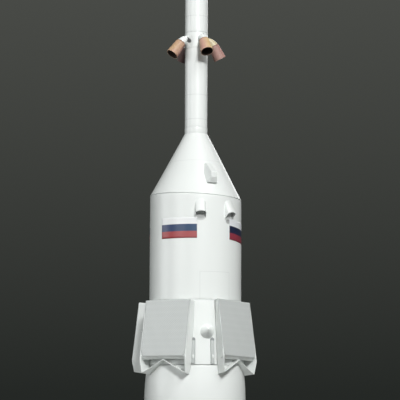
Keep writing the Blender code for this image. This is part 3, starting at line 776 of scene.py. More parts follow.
def spun(profile: np.ndarray, rolling: Rolling, origin: tuple = (0.0, 0.0, 0.0), axis: tuple = UP) -> np.ndarray:
    """Turns a profile about an axis, as card is rolled.

    A point is origin + height x axis + r x (cos a, sin a) across the axis. Its r is the profile's radius,
    plus the lap, which fades to nothing in LAP_FADE degrees from the seam, plus the wave times
    sin(2a + 55h) + 0.6 sin(5a - 80h), both scaled by radius over the widest radius so that poles stay shut.

    Args:
        profile: (radius, height) points that run down the outside.
        rolling: columns, lap, waves and seam.
        origin: where height 0 lies.
        axis: the way that height grows.

    Returns:
        A grid of points whose first and last columns meet.
    """
    radius, height = np.asarray(profile, float).T[:, :, None]
    travelled = np.linspace(0.0, 360.0, rolling.columns + 1)
    proud = rolling.lap * np.clip(1.0 - travelled / LAP_FADE, 0.0, 1.0)
    if rolling.lap:
        travelled, proud = np.append(travelled, 360.0), np.append(proud, rolling.lap)
    angle = np.radians(travelled + rolling.seam - 90.0)[None]
    wave = rolling.wave * (np.sin(2 * angle + 55 * height) + 0.6 * np.sin(5 * angle - 80 * height))
    radius = radius + (proud[None] + wave) * radius / radius.max()
    along = np.asarray(axis, float) / np.linalg.norm(axis)
    helper = np.array([1.0, 0.0, 0.0]) if abs(along[0]) < 0.9 else np.array([0.0, 1.0, 0.0])
    side = helper - along * (helper @ along)
    side /= np.linalg.norm(side)
    other = np.cross(along, side)
    ring = np.cos(angle)[..., None] * side + np.sin(angle)[..., None] * other
    return np.asarray(origin) + height[..., None] * along + radius[..., None] * ring


def spun_shell(
    profile: np.ndarray, rolling: Rolling, finish: int = 0, origin: tuple = (0.0, 0.0, 0.0), axis: tuple = UP
) -> Shell:
    """The shell of a turned profile, its places running down by length.

    Args:
        profile, rolling, origin, axis: as for spun.
        finish: which finish it wears.

    Returns:
        The shell.
    """
    profile = np.asarray(profile, float)
    lengths = lengths_along(profile)
    return grid_shell(spun(profile, rolling, origin, axis), finish, down=lengths / lengths[-1])


def solid_profile(side: list[Pair], ease: float = 0.00015, step: float = 0.004) -> np.ndarray:
    """A side closed by a flat disc at each end, its corners eased and its length filled with points."""
    whole = np.array([(0.0, side[0][1]), *side, (0.0, side[-1][1])])
    return dense(eased(whole, ease), step)


def pipe(path: np.ndarray, radii: np.ndarray, columns: int, side: Triple) -> np.ndarray:
    """A round tube along a path, closed at both ends.

    A point is P(s) + r(s) (cos a N + sin a B), where N is the path's direction cross the side vector and B is
    square to both.

    Args:
        path: points of the centreline.
        radii: the radius at each of them.
        columns: how many columns go round it.
        side: a direction that the path never takes.

    Returns:
        A grid of points, its first and last rows each shrunk to a point.
    """
    path = np.asarray(path, float)
    along = np.gradient(path, axis=0)
    along /= np.linalg.norm(along, axis=1, keepdims=True)
    normal = np.cross(along, np.asarray(side, float))
    normal /= np.linalg.norm(normal, axis=1, keepdims=True)
    other = np.cross(normal, along)
    angle = np.linspace(0.0, 2 * np.pi, columns + 1)[None, :, None]
    ring = np.cos(angle) * normal[:, None] + np.sin(angle) * other[:, None]
    body = path[:, None] + np.asarray(radii, float)[:, None, None] * ring
    ends = [np.broadcast_to(path[place], (1, columns + 1, 3)) for place in (0, -1)]
    return np.concatenate([ends[0], body, ends[1]])


def curve_through(start: np.ndarray, bend: np.ndarray, end: np.ndarray, count: int) -> np.ndarray:
    """Points of the curve (1-t)^2 start + 2t(1-t) bend + t^2 end."""
    share = np.linspace(0.0, 1.0, count)[:, None]
    start, bend, end = (np.asarray(point, float) for point in (start, bend, end))
    return (1 - share) ** 2 * start + 2 * share * (1 - share) * bend + share**2 * end


@dataclass(frozen=True)
class Span:
    """What the frame says of a turned node: its widest radius, its top and its foot."""

    radius: float
    top: float
    foot: float

    @staticmethod
    def of(node: str) -> "Span":
        """What the frame says of a node."""
        low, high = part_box(node)
        return Span(high.x, high.z, low.z)


def linked(name: str, data: bpy.types.ID) -> bpy.types.Object:
    """Adds an object that holds the data to the scene."""
    holder = bpy.data.objects.new(name, data)
    bpy.context.scene.collection.objects.link(holder)
    return holder


def make_piece(
    name: str,
    shells: list[Shell],
    finishes: list[Card],
    replaced: tuple[str, ...] = (),
    sharp: float = 32.0,
    card: float = 0.0,
    closed: bool = True,
) -> bpy.types.Object:
    """Joins shells in one object, dresses it and lets it ride on the rocket's body.

    Args:
        name: the piece's name.
        shells: its surfaces. Corners that lie on each other are merged.
        finishes: the finishes that the shells' numbers mean.
        replaced: CAD nodes that it stands for.
        sharp: the angle in degrees past which an edge is drawn sharp.
        card: the thickness given to open sheets, half on each side. 0 leaves them.
        closed: whether the shells are closed, so that their faces can be turned to point out.

    Returns:
        The piece.
    """
    starts = np.cumsum([0, *(len(shell.points) for shell in shells)])
    points = np.concatenate([shell.points for shell in shells])
    places = np.concatenate([shell.places for shell in shells])
    faces = [[corner + int(start) for corner in face] for shell, start in zip(shells, starts) for face in shell.faces]
    wears = np.concatenate([np.full(len(shell.faces), shell.finish) for shell in shells])
    mesh = bpy.data.meshes.new(name)
    mesh.from_pydata(points.tolist(), [], faces)
    order = np.concatenate(faces)
    mesh.uv_layers.new(name="card").uv.foreach_set("vector", places[order].ravel())
    mesh.polygons.foreach_set("material_index", wears.astype(np.int32))
    for finish in finishes:
        mesh.materials.append(material_of(finish))
    work = bmesh.new()
    work.from_mesh(mesh)
    bmesh.ops.remove_doubles(work, verts=work.verts, dist=MERGE)
    bmesh.ops.dissolve_degenerate(work, edges=work.edges, dist=MERGE / 4)
    if closed:
        bmesh.ops.recalc_face_normals(work, faces=work.faces)
    work.to_mesh(mesh)
    work.free()
    mesh.shade_smooth()
    mesh.set_sharp_from_angle(angle=math.radians(sharp))
    piece = linked(name, mesh)
    if card:
        wall = piece.modifiers.new("card", "SOLIDIFY")
        wall.thickness = card
        wall.offset = 0.0
        edge = piece.modifiers.new("cut edge", "BEVEL")
        edge.width = 0.2 * card
        edge.segments = 1
        edge.limit_method = "ANGLE"
        edge.angle_limit = math.radians(60)
    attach(piece, BODY)
    if replaced:
        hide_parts(*replaced)
    LOG.info("%s: %d faces%s", name, len(mesh.polygons), f", for {', '.join(replaced)}" if replaced else "")
    return piece


@dataclass
class EscapeTower:
    """The thin tower on the nose: nose cone, steering motor, two tubes, the nozzles' collar and the base ring.

    Fields:
        nose_line: the nose's radius at some depths below its tip.
        lap: how far the tubes reach into the rings between them.
        elbow_back: how far before the nozzle an elbow bends.
        elbow_growth: the power of its length by which its radius grows.
        nozzle_top, nozzle_exit: reach and height of a nozzle's ends.
        drawn_in, turned_by: how much nearer to the tower, and how far round it, each nozzle was glued.
    """

    nose_line: tuple[Pair, ...] = ((0.0014, 0.0004), (0.0022, 0.003), (0.0042, 0.009))
    nose_skirt: float = 0.0012
    tip_round: float = 0.0008
    waist: float = 0.0033
    waist_end: float = 0.0006
    port_radius: float = 0.0011
    port_reach: float = 0.0013
    port_drop: float = 0.0012
    lap: float = 0.0005
    ring_slope: float = 0.0009
    sleeve: float = 0.00008
    elbow_root: float = 0.0045
    elbow_back: float = 0.0032
    elbow_growth: float = 0.7
    elbow_radii: Pair = (0.0009, 0.0029)
    elbow_columns: int = 32
    nozzle_roll: Rolling = Rolling(56, lap=0.0001, seam=20.0)
    nozzle_shoulder: float = 0.0005
    nozzle_azimuths: Reals = (15.0, 105.0, 195.0, 285.0)
    nozzle_top: Pair = (0.0119, 0.9567)
    nozzle_exit: Pair = (0.0167, 0.9484)
    nozzle_top_radius: float = 0.0033
    nozzle_exit_radius: float = 0.004
    nozzle_wall: float = 0.00035
    nozzle_depth: float = 0.0012
    rings: Reals = (0.9738, 0.9228, 0.9072)
    collar_line: float = 0.9633
    # Dark patches on the tower card: a faint, wide painted shadow, a near-black patch of painted shade in the gap
    # beside the left elbow's root, and a small dark spot further round.
    spots: tuple[Spot, ...] = (
        Spot(-33.0, 0.9572, 12.0, 0.0042, strength=0.16),
        Spot(-52.0, 0.958, 17.0, 0.0022, slant=-0.6, strength=0.97),
        Spot(28.4, 0.9618, 2.2, 0.0009, strength=0.5),
    )
    # The third nozzle, behind the tower, wears the near-black copy painted as shade.
    coppers: tuple[CopperCard, ...] = (GOLD_COPPER, ROSE_COPPER, PAINTED_SHADE_COPPER, TAN_COPPER)
    drawn_in: Reals = (0.0, 0.0, 0.0, 0.0014)
    turned_by: Reals = (0.0, 0.0, 5.5, 0.0)
    straw_elbow: int = 1

    def skin(self) -> WhiteCard:
        """White card with the tower's ring lines, grime at its joints and dark patches, most of them painted shade."""
        spans = [Span.of(node) for node in ("escape_nozzle_collar", "escape_base_ring")]
        seams = (spans[0].top, spans[0].foot, spans[1].top, spans[1].foot)
        rings = tuple(Ring(height) for height in self.rings) + (Ring(self.collar_line, 0.0005, 0.4),)
        return WhiteCard("tower card", WHITE, rings=rings, seams=seams, spots=self.spots)

    def build_tubes(self) -> None:
        """Builds the rolled tubes, except for the collar's sleeve, and the two pieces at the tip."""
        skin = self.skin()
        nose = Span.of("escape_nose_cone")
        tip = nose.top - 0.00001
        side = [(radius, tip - depth) for radius, depth in self.nose_line]
        skirt = [(nose.radius, nose.foot + self.nose_skirt), (nose.radius, nose.foot), (0.0, nose.foot)]
        profile = dense(eased(np.array([(0.0, tip), *side, *skirt]), self.tip_round), 0.001)
        make_piece("escape_nose_card", [spun_shell(profile, PLAIN_TUBE)], [skin], ("escape_nose_cone",))
        self.build_motor(skin)
        for node in ("escape_upper_tube", "escape_lower_tube"):
            span = Span.of(node)
            side = [(span.radius, span.top + self.lap), (span.radius, span.foot - self.lap)]
            shell = spun_shell(solid_profile(side, 0.00012), TUBE_ROLL)
            make_piece(f"{node}_card", [shell], [skin], (node,))
        ring, lower = Span.of("escape_base_ring"), Span.of("escape_lower_tube")
        side = [(lower.radius, ring.top), (ring.radius, ring.top - self.ring_slope),
                (ring.radius, ring.foot - self.lap)]
        make_piece("escape_base_ring_card", [spun_shell(solid_profile(side), TUBE_ROLL)], [skin],
                   ("escape_base_ring",))

    def build_motor(self, skin: Card) -> None:
        """Builds the steering motor's drum, its flared foot and its four small ports.

        Args:
            skin: the tower's card.
        """
        motor, nose = Span.of("escape_steering_motor"), Span.of("escape_nose_cone")
        tube = Span.of("escape_upper_tube")
        waist = motor.foot + self.waist
        side = [(nose.radius, motor.top), (nose.radius, waist), (tube.radius, motor.foot + self.waist_end),
                (tube.radius, motor.foot)]
        shells = [spun_shell(solid_profile(side, 0.00025, 0.002), PLAIN_TUBE)]
        middle = (motor.top + waist) / 2
        for azimuth in self.nozzle_azimuths:
            reach = nose.radius + self.port_reach
            path = np.array([(nose.radius - 0.001, 0.0, middle), (reach, 0.0, middle - self.port_drop)])
            radii = np.array([self.port_radius * 0.8, self.port_radius])
            shells.append(grid_shell(pipe(path, radii, 20, (0.0, 1.0, 0.0))).turned_to(azimuth))
            away = (path[1] - path[0]) / np.linalg.norm(path[1] - path[0])
            disc = [(self.port_radius * 0.72, 0.00004), (0.0, 0.00002)]
            mouth = spun_shell(np.array(disc), Rolling(20), 1, tuple(path[1]), tuple(away))
            shells.append(mouth.turned_to(azimuth))
        make_piece("escape_motor_card", shells, [skin, SOOT], ("escape_steering_motor",), closed=False)

    def build_collar(self) -> None:
        """Builds the collar: a sleeve round the tower and four elbows that hold the nozzles, one straw-coloured."""
        skin = self.skin()
        span = Span.of("escape_nozzle_collar")
        tube = Span.of("escape_upper_tube")
        radius = tube.radius + self.sleeve
        shells = [spun_shell(solid_profile([(radius, span.top), (radius, span.foot)]), TUBE_ROLL)]
        for number, (azimuth, drawn_in, turned_by) in enumerate(
            zip(self.nozzle_azimuths, self.drawn_in, self.turned_by)
        ):
            top, along, _ = self.nozzle_line(drawn_in)
            bend = top - along * self.elbow_back
            start = np.array([self.elbow_root, 0.0, bend[2] + 0.0004])
            path = curve_through(start, bend + np.array([-0.0006, 0.0, 0.0006]), top + along * 0.0001, 14)
            share = np.linspace(0.0, 1.0, len(path)) ** self.elbow_growth
            radii = self.elbow_radii[0] + share * (self.elbow_radii[1] - self.elbow_radii[0])
            elbow = pipe(path, radii, self.elbow_columns, (0.0, 1.0, 0.0))
            finish = 1 if number == self.straw_elbow else 2
            shells.append(grid_shell(elbow, finish).turned_to(azimuth + turned_by))
        make_piece("escape_collar_card", shells, [skin, STRAW_CARD, PLAIN_WHITE],
                   ("escape_nozzle_collar",))

    def nozzle_line(self, drawn_in: float) -> tuple[np.ndarray, np.ndarray, float]:
        """The line of a nozzle from its elbow to its exit, in its own upright plane.

        Args:
            drawn_in: how much nearer to the tower the nozzle's top stands than planned.

        Returns:
            Its top, its direction and its length.
        """
        top = np.array([self.nozzle_top[0] - drawn_in, 0.0, self.nozzle_top[1]])
        away = np.array([self.nozzle_exit[0], 0.0, self.nozzle_exit[1]]) - top
        length = float(np.linalg.norm(away))
        return top, away / length, length

    def build_nozzles(self) -> None:
        """Builds four open bells of copper card, dark inside, with a brown cut edge at the exit."""
        for number, (azimuth, turned_by) in enumerate(zip(self.nozzle_azimuths, self.turned_by)):
            self.build_nozzle(number, azimuth + turned_by)

    def build_nozzle(self, number: int, azimuth: float) -> None:
        """Builds one nozzle.

        Args:
            number: which one, from 0.
            azimuth: where it stands round the tower.
        """
        top, along, length = self.nozzle_line(self.drawn_in[number])
        wide, narrow = self.nozzle_exit_radius, self.nozzle_top_radius
        inner_wide, inner_narrow = wide - self.nozzle_wall, narrow - self.nozzle_wall
        outside = np.array([(0.0, 0.0), (narrow * 0.96, 0.0), (narrow, -self.nozzle_shoulder), (wide, -length)])
        edge = np.array([(wide, -length), (inner_wide, -length)])
        inside = np.array([(inner_wide, -length), (inner_narrow, -self.nozzle_depth), (0.0, -self.nozzle_depth)])
        shells = [
            spun_shell(dense(profile, 0.0012), self.nozzle_roll, finish, tuple(top), tuple(-along)).turned_to(azimuth)
            for profile, finish in ((eased(outside, 0.0002), 0), (edge, 1), (inside, 2))
        ]
        make_piece(f"escape_nozzle_card_{number + 1}", shells, [self.coppers[number], COPPER_EDGE, SOOT],
                   (f"escape_nozzle_{number + 1}",))

    def build(self) -> None:
        """Builds the whole tower."""
        self.build_tubes()
        self.build_collar()
        self.build_nozzles()


@dataclass
class Hood:
    """A small hood: a leaning tube with a round front and straight sides, its mouth sloped and hollow.

    Fields:
        carrier: the radius of the shell under it.
        lip, foot: the heights of the mouth's outer edge and of its edge at the shell.
        depth, rounding: how far it reaches back, and the depth of its round front.
        hollow, wall: how deep the mouth is, and from which share of the way out its wall begins.
    """

    name: str
    azimuth: float
    carrier: float
    lip: float = 0.8459
    foot: float = 0.842
    proud: float = 0.004
    half_width: float = 0.0033
    rounding: float = 0.0022
    depth: float = 0.0085
    lean: float = math.radians(27.0)
    hollow: float = 0.0038
    wall: float = 0.93
    length: float = 0.0135

    def section(self) -> np.ndarray:
        """The tube's outline, its lip at the origin: (-d, w) back to (r (cos a)^0.7 - r, w sin a), a from 90 to -90."""
        angle = np.radians(np.linspace(90.0, -90.0, 33))
        round_part = self.rounding * (np.cos(angle).clip(0.0) ** 0.7 - 1.0)
        front = np.stack([round_part, self.half_width * np.sin(angle)], axis=1)
        back = [(-self.depth, -self.half_width), (-self.depth, self.half_width)]
        return dense(np.concatenate([front, back, front[:1]]), 0.0015)

    def build(self, skin: Card) -> None:
        """Builds the hood.

        Each line of the tube runs along the leaning axis from inside the hull down to the mouth's plane, which
        falls from the lip to the foot. Inside the wall the mouth sinks by the hollow times 1 - q^3, where q goes
        from 0 at its middle to 1 at the wall.

        Args:
            skin: the card that it wears.
        """
        outline = self.section()
        middle = np.array([-0.55 * self.proud, 0.0])
        upward = np.array([-math.sin(self.lean), 0.0, math.cos(self.lean)])
        outward = np.array([math.cos(self.lean), 0.0, math.sin(self.lean)])
        lip = np.array([self.carrier + self.proud, 0.0, self.lip])
        slope = (self.lip - self.foot) / self.proud

        def mouth(share: float) -> np.ndarray:
            """Points of the mouth's plane at a share of the way from its middle to the outline."""
            reach, side = (middle + share * (outline - middle)).T
            base = lip + np.outer(reach, outward) + np.outer(side, (0.0, 1.0, 0.0))
            gap = self.foot + (base[:, 0] - self.carrier) * slope - base[:, 2]
            return base + (gap / (upward[2] - slope * upward[0]))[:, None] * upward

        outer = mouth(1.0)
        tube = [outer + upward * self.length * share for share in np.linspace(1.0, 0.0, 8)]
        dish = [mouth(self.wall * share) + upward * self.hollow * (1 - share**3) for share in np.linspace(1.0, 0.0, 9)]
        top = np.broadcast_to(tube[0].mean(axis=0), tube[0].shape)
        grids = (np.stack([top, *tube]), np.stack([outer, mouth(self.wall)]), np.stack(dish))
        # The dish of the mouth wears the grey card of painted shade.
        shells = [grid_shell(grid, finish).turned_to(self.azimuth) for grid, finish in zip(grids, (0, 0, 1))]
        make_piece(f"{self.name}_card", shells, [skin, HOOD_MOUTH_PAINTED_SHADE], (self.name,), sharp=38.0)


@dataclass
class ConeHood:
    """The folded hood on the cone: a roof, a front, a sloped underside and two slanting sides, closed by a flat face at
    its foot.

    Fields:
        folds: for each level fold the front's reach and half width, the half width at the cone, and the height.
        sunk: how far its sides reach into the cone.
        edge: how wide its folds are rounded.
    """

    hull: "Fairing"
    azimuth: float = 14.3
    folds: tuple[tuple[float, float, float, float], ...] = (
        (0.0204, 0.0019, 0.0024, 0.8769),
        (0.0288, 0.0019, 0.0039, 0.8706),
        (0.0286, 0.0019, 0.0038, 0.8673),
        (0.0264, 0.0029, 0.0036, 0.8643),
    )
    sunk: float = 0.0008
    edge: float = 0.00018

    def build(self, skin: Card) -> None:
        """Builds the hood from rows across its folds, closed above and below.

        At a height where the cone's radius is R, a side meets the cone at the root of R^2 less the half width
        squared, and runs on by the sunk depth.

        Args:
            skin: the card that it wears.
        """
        reach, front, side, height = np.array(self.folds).T
        root = np.sqrt(self.hull.radius_at(height) ** 2 - side**2) - self.sunk
        corners = ((root, -side), (reach, -front), (reach, front), (root, side), (root, -side))
        grid = np.stack([grid_of(out, wide, height) for out, wide in corners], axis=1)
        shells = [grid_shell(grid)]
        for row in (grid[0], grid[-1]):
            middle = np.broadcast_to(row[:4].mean(axis=0), row.shape)
            shells.append(grid_shell(np.stack([row, middle])))
        placed = [shell.turned_to(self.azimuth) for shell in shells]
        piece = make_piece("fairing_cone_blister_card", placed, [skin], ("fairing_cone_blister",),
                           sharp=20.0)
        fold = piece.modifiers.new("fold", "BEVEL")
        fold.width = self.edge
        fold.segments = 2
        fold.limit_method = "ANGLE"


@dataclass
class Fairing:
    """The nose fairing: cone, upper shell with flags and hoods, fin band, lower shell and tail cone.

    Fields:
        flag_slopes: how much each flag sinks along its width.
        crooked, crooked_towards: how far the joint under the cone sinks, and towards which azimuth.
        first_seam, seam_step: the azimuth of the cone's seam, and how much further round each card below has its own.
        button_lean: how far the tips are off to the side and up.
        button_shade: painted shade, a dark patch on the lower side of each button, measured from its middle.
    """

    flag_azimuths: Reals = (-31.2, 61.6, 148.0, 244.0)
    flag_slopes: Reals = (0.0, 0.085, 0.0, 0.0)
    flag_half_turn: float = 24.0
    flag_top: float = 0.8424
    flag_foot: float = 0.8295
    flag_proud: float = 0.00004
    flag_sheet: float = 0.00006
    hood_azimuths: Reals = (-3.0, 36.0, 177.0, 216.0)
    # Painted shadows on the upper shell under the two front hoods' mouths, two patches under each.
    hood_shades: tuple[Spot, ...] = (
        Spot(-3.0, 0.8433, 6.8, 0.002, strength=0.28),
        Spot(-3.0, 0.842, 6.8, 0.0018, strength=0.3),
        Spot(35.0, 0.8422, 6.5, 0.002, strength=0.28),
        Spot(35.2, 0.8404, 4.2, 0.0016, strength=0.5),
    )
    cone_line: float = 0.8793
    cone_top_radius: float = 0.0073
    crooked: float = 0.0014
    crooked_towards: float = 81.0
    joint: float = 0.00042
    first_seam: float = 168.0
    seam_step: float = 9.0
    swell_ease: float = 0.0055
    band_foot_radius: float = 0.0303
    lower_top_radius: float = 0.03
    knee: float = 0.738
    door_left: float = -3.5
    door_right: float = 37.0
    door_top: float = 0.8092
    door_turn: float = -140.0
    gap_azimuths: Reals = (0.0, 90.0, 180.0, 270.0)
    rail_offset: float = 11.2
    rail_width: float = 0.0024
    rail_top: float = 0.7692
    rail_foot: float = 0.7534
    rail_proud: float = 0.001
    rail_rings: tuple[Pair, ...] = (
        (0.0, -0.0012), (0.0, 0.35), (0.08, 0.62), (0.25, 0.84), (0.5, 0.96), (0.8, 1.0),
    )
    knob_height: float = 0.7577
    knob_size: Triple = (0.0005, 0.00055, 0.0013)
    button_offset: float = 5.2
    button_height: float = 0.7727
    button_radius: float = 0.0042
    button_proud: float = 0.0056
    button_lean: Pair = (-0.0002, 0.0011)
    button_lap: float = 0.00028
    # Painted shade on each button's lower side.
    button_shade: Spot = Spot(-1.5, -0.003, 8.0, 0.003, strength=0.26)

    def profile(self) -> np.ndarray:
        """The hull's radius and height at each change of slope, from the frame, top first."""
        cone, shell = Span.of("fairing_cone"), Span.of("fairing_upper_shell")
        band, lower = self.band_ends(), Span.of("fairing_lower_shell")
        return np.array([
            (self.cone_top_radius, cone.top), (cone.radius, cone.foot), (shell.radius, shell.foot),
            band[0], band[1], (lower.radius, self.knee), (lower.radius, lower.foot),
        ])

    def band_ends(self) -> tuple[Pair, Pair]:
        """The fin band's radius and height at its top and at its foot."""
        shell, band = Span.of("fairing_upper_shell"), Span.of("fin_band")
        return (shell.radius - 0.0002, band.top), (self.band_foot_radius, band.foot)

    def radius_at(self, height: np.ndarray) -> np.ndarray:
        """The hull's radius at a height."""
        line = self.profile()[::-1]
        return np.interp(height, line[:, 1], line[:, 0])

    def crooked_by(self, shell: Shell, seam: float, fade: float) -> Shell:
        """Tilts a rolled card about the seam that it shares with its neighbour.

        A point sinks by the crooked length times its share of the widest radius towards the low side, and by a
        share that falls from 1 at the seam to 0 the fade's length from it.

        Args:
            shell: the card.
            seam: the height of the seam.
            fade: how far from the seam the tilt dies out.

        Returns:
            The tilted card.
        """
        points = shell.points.copy()
        turn = math.radians(self.crooked_towards)
        side = points[:, 0] * math.sin(turn) - points[:, 1] * math.cos(turn)
        share = np.clip(1.0 - np.abs(points[:, 2] - seam) / fade, 0.0, 1.0)
        points[:, 2] -= self.crooked * share * side / Span.of("fairing_cone").radius
        return shell.moved_to(points)

    def build_hull(self) -> None:
        """Builds the five rolled cards of the hull, which meet at eased edges, with an open joint under the cone."""
        line = self.profile()
        cone, shell = Span.of("fairing_cone"), Span.of("fairing_upper_shell")
        lower, tail = Span.of("fairing_lower_shell"), Span.of("fairing_tail_cone")
        band_top, band_foot = self.band_ends()
        doors = tuple(
            Hatch(self.door_left + turn, self.door_right + turn, shell.foot - 0.001, self.door_top)
            for turn in (0.0, self.door_turn)
        )
        seams = tuple(float(height) for height in line[1:6, 1])
        cone_skin = WhiteCard("cone card", WHITE, rings=(Ring(self.cone_line, strength=0.14),))
        # The upper shell's card carries the hoods' painted shadows.
        shell_skin = WhiteCard("upper shell card", WHITE, hatches=doors, seams=seams[1:2], spots=self.hood_shades)
        # The dark ring just under the upper shell's foot is a painted shadow line under that edge.
        band_skin = WhiteCard("fin band card", WHITE, rings=(Ring(shell.foot - 0.0002, 0.0005, 0.25),),
                              seams=seams[1:4])
        lower_skin = WhiteCard("lower shell card", WHITE, seams=(seams[3], lower.foot))
        stage = Span.of("third_stage_tank")
        neck = shell.radius - 1.2 * self.joint
        swell = eased(np.array([(self.lower_top_radius, lower.top), (lower.radius, self.knee),
                                (lower.radius, lower.foot)]), self.swell_ease, 8)
        sheets = (
            ("fairing_cone", [(self.cone_top_radius, cone.top), (cone.radius, cone.foot)], cone_skin),
            ("fairing_upper_shell",
             [(neck, cone.foot), (neck, cone.foot - self.joint), (shell.radius, cone.foot - 1.3 * self.joint),
              (shell.radius, shell.foot)], shell_skin),
            ("fin_band", [(band_top[0], shell.foot), band_foot], band_skin),
            ("fairing_lower_shell", [tuple(point) for point in swell], lower_skin),
            ("fairing_tail_cone", [(lower.radius, lower.foot), (stage.radius, tail.foot)], lower_skin),
        )
        fades = {"fairing_cone": cone.top - cone.foot, "fairing_upper_shell": shell.top - shell.foot}
        for number, (node, side, skin) in enumerate(sheets):
            rolling = replace(HULL_ROLL, seam=self.first_seam + self.seam_step * number)
            sheet = spun_shell(solid_profile(side), rolling)
            if node in fades:
                sheet = self.crooked_by(sheet, cone.foot, fades[node])
            make_piece(f"{node}_card", [sheet], [skin], (node,))

    def build_flags(self) -> None:
        """Builds four thin printed flags that follow the upper shell; one was glued on sloping, and it wears a darker
        print, painted shade.
        """
        shell = Span.of("fairing_upper_shell")
        radius = shell.radius + self.flag_proud + HULL_ROLL.wave * 1.6
        for number, (azimuth, slope) in enumerate(zip(self.flag_azimuths, self.flag_slopes), 1):
            turn = np.radians(np.linspace(-self.flag_half_turn, self.flag_half_turn, 49))[None]
            height = np.linspace(self.flag_top, self.flag_foot, 13)[:, None] - slope * radius * (turn - turn[0, 0])
            grid = grid_of(radius * np.cos(turn), radius * np.sin(turn), height)
            # The sloping flag wears the darker print, painted shade.
            finish = PAINTED_SHADE_FLAG if slope else FLAG
            piece = make_piece(f"flag_print_{number}", [grid_shell(grid).turned_to(azimuth)], [finish],
                               closed=False)
            sheet = piece.modifiers.new("sheet", "SOLIDIFY")
            sheet.thickness = self.flag_sheet
            sheet.offset = -1.0

    def build_hoods(self) -> None:
        """Builds the four round hoods of the upper shell and the folded one on the cone."""
        carrier = Span.of("fairing_upper_shell").radius
        for number, azimuth in enumerate(self.hood_azimuths, 1):
            Hood(f"fairing_blister_{number}", azimuth, carrier).build(PLAIN_WHITE)
        ConeHood(self).build(PLAIN_WHITE)

    def build_rails(self) -> None:
        """Builds the round-topped latch rails, two in each gap between the fins, each with an oval knob.

        A rail's outline has half its width as radius round its top. Every ring of the grid is that outline drawn
        in by its own inset and lifted off the band by a share of the proud height, so that the rail's section is
        low and round. The first ring's lift is in metres, into the band. The knob is half of an ellipsoid.
        """
        half = self.rail_width / 2
        turn = np.radians(np.linspace(0.0, 180.0, 19))
        grids = []
        for inset, lift in self.rail_rings:
            radius = half * (1.0 - inset)
            across = np.concatenate([radius * np.cos(turn), [-radius, radius, radius]])
            tops = self.rail_top - half + radius * np.sin(turn)
            low = self.rail_foot + 0.3 * inset * half
            height = np.concatenate([tops, [low, low, self.rail_top - half]])
            reach = self.radius_at(height) + (lift if lift < 0.0 else lift * self.rail_proud)
            grids.append(grid_of(reach, across, height))
        core = grids[-1].copy()
        core[:, 1] = 0.0
        bar = grid_shell(np.stack([*grids, core]))
        proud, wide, tall = self.knob_size
        away = np.radians(np.linspace(0.0, 110.0, 12))[:, None]
        around = np.radians(np.linspace(0.0, 360.0, 29))[None]
        seat = float(self.radius_at(np.array(self.knob_height))) + self.rail_proud
        dome = grid_of(seat + proud * np.cos(away), wide * np.sin(away) * np.cos(around),
                       self.knob_height + tall * np.sin(away) * np.sin(around))
        back = np.broadcast_to(dome[-1].mean(axis=0), (1, *dome[-1].shape))
        knob = grid_shell(np.concatenate([dome, back]), 1)
        number = 0
        for gap in self.gap_azimuths:
            for side in (-self.rail_offset, self.rail_offset):
                number += 1
                parts = [shell.turned_to(gap + side) for shell in (bar, knob)]
                make_piece(f"latch_rail_{number}", parts, [LATCH_GREY, PLAIN_WHITE], sharp=40.0)

    def build_buttons(self) -> None:
        """Builds the pointed buttons, whose tips lean a little to one side and up."""
        height = self.button_height
        seat = float(self.radius_at(np.array(height)))
        profile = dense(eased(np.array([
            (0.0, self.button_proud), (0.0003, self.button_proud - 0.0001), (self.button_radius, 0.0004),
            (self.button_radius, -SUNK), (0.0, -SUNK),
        ]), 0.0002), 0.0008)
        grid = spun(profile, Rolling(48, lap=self.button_lap, seam=10.0), (seat, 0.0, height), (1.0, 0.0, 0.0))
        lift = np.clip((grid[..., 0] - seat) / self.button_proud, 0.0, 1.0)[..., None]
        grid = grid + lift * np.array([0.0, self.button_lean[0], self.button_lean[1]])
        places = [(gap + self.button_offset + 180.0) % 360.0 - 180.0 for gap in self.gap_azimuths]
        # Each button's card carries the painted shade on its lower side.
        shade = self.button_shade
        shades = tuple(replace(shade, azimuth=place + shade.azimuth, height=height + shade.height) for place in places)
        skin = WhiteCard("button card", WHITE, spots=shades)
        for number, place in enumerate(places, 1):
            shell = grid_shell(grid).turned_to(place)
            make_piece(f"band_button_card_{number}", [shell], [skin], (f"band_button_{number}",))

    def build(self) -> None:
        """Builds the whole fairing."""
        self.build_hull()
        self.build_flags()
        self.build_hoods()
        self.build_rails()
        self.build_buttons()


@dataclass(frozen=True)
class Cheek:
    """One side of a fin's box, as it came out when it was folded by hand.

    Fields:
        halves: how far its front edge stands from the fin's middle at its top, knee and tip.
        seats: how far from the fin's middle it meets the band, at the same three places.
        short: how much it falls short of the band.
    """

    halves: Triple = (0.0164, 0.0164, 0.0161)
    seats: Triple = (0.016, 0.0157, 0.0143)
    short: float = 0.0


@dataclass(frozen=True)
class Folding:
    """How one fin was folded and glued on.

    Fields:
        azimuth: where it stands.
        left: its cheek on the side of the lesser azimuth.
        right: its other cheek.
        standoff: how far the fin stands out from the others.
        rise: how much higher its tips lie than planned.
        tilt: how much it sinks for each metre to the right.
    """

    azimuth: float
    left: Cheek = Cheek()
    right: Cheek = Cheek()
    standoff: float = 0.0
    rise: float = 0.0
    tilt: float = 0.0

    def half(self, across: np.ndarray, row: int) -> np.ndarray:
        """The place across the fin, in metres, of shares from -1 to 1 at its top, knee or tip (row 0, 1 or 2)."""
        return across * np.where(across < 0.0, self.left.halves[row], self.right.halves[row])

    def seat(self, across: np.ndarray, row: int) -> np.ndarray:
        """The same at the band."""
        return across * np.where(across < 0.0, self.left.seats[row], self.right.seats[row])


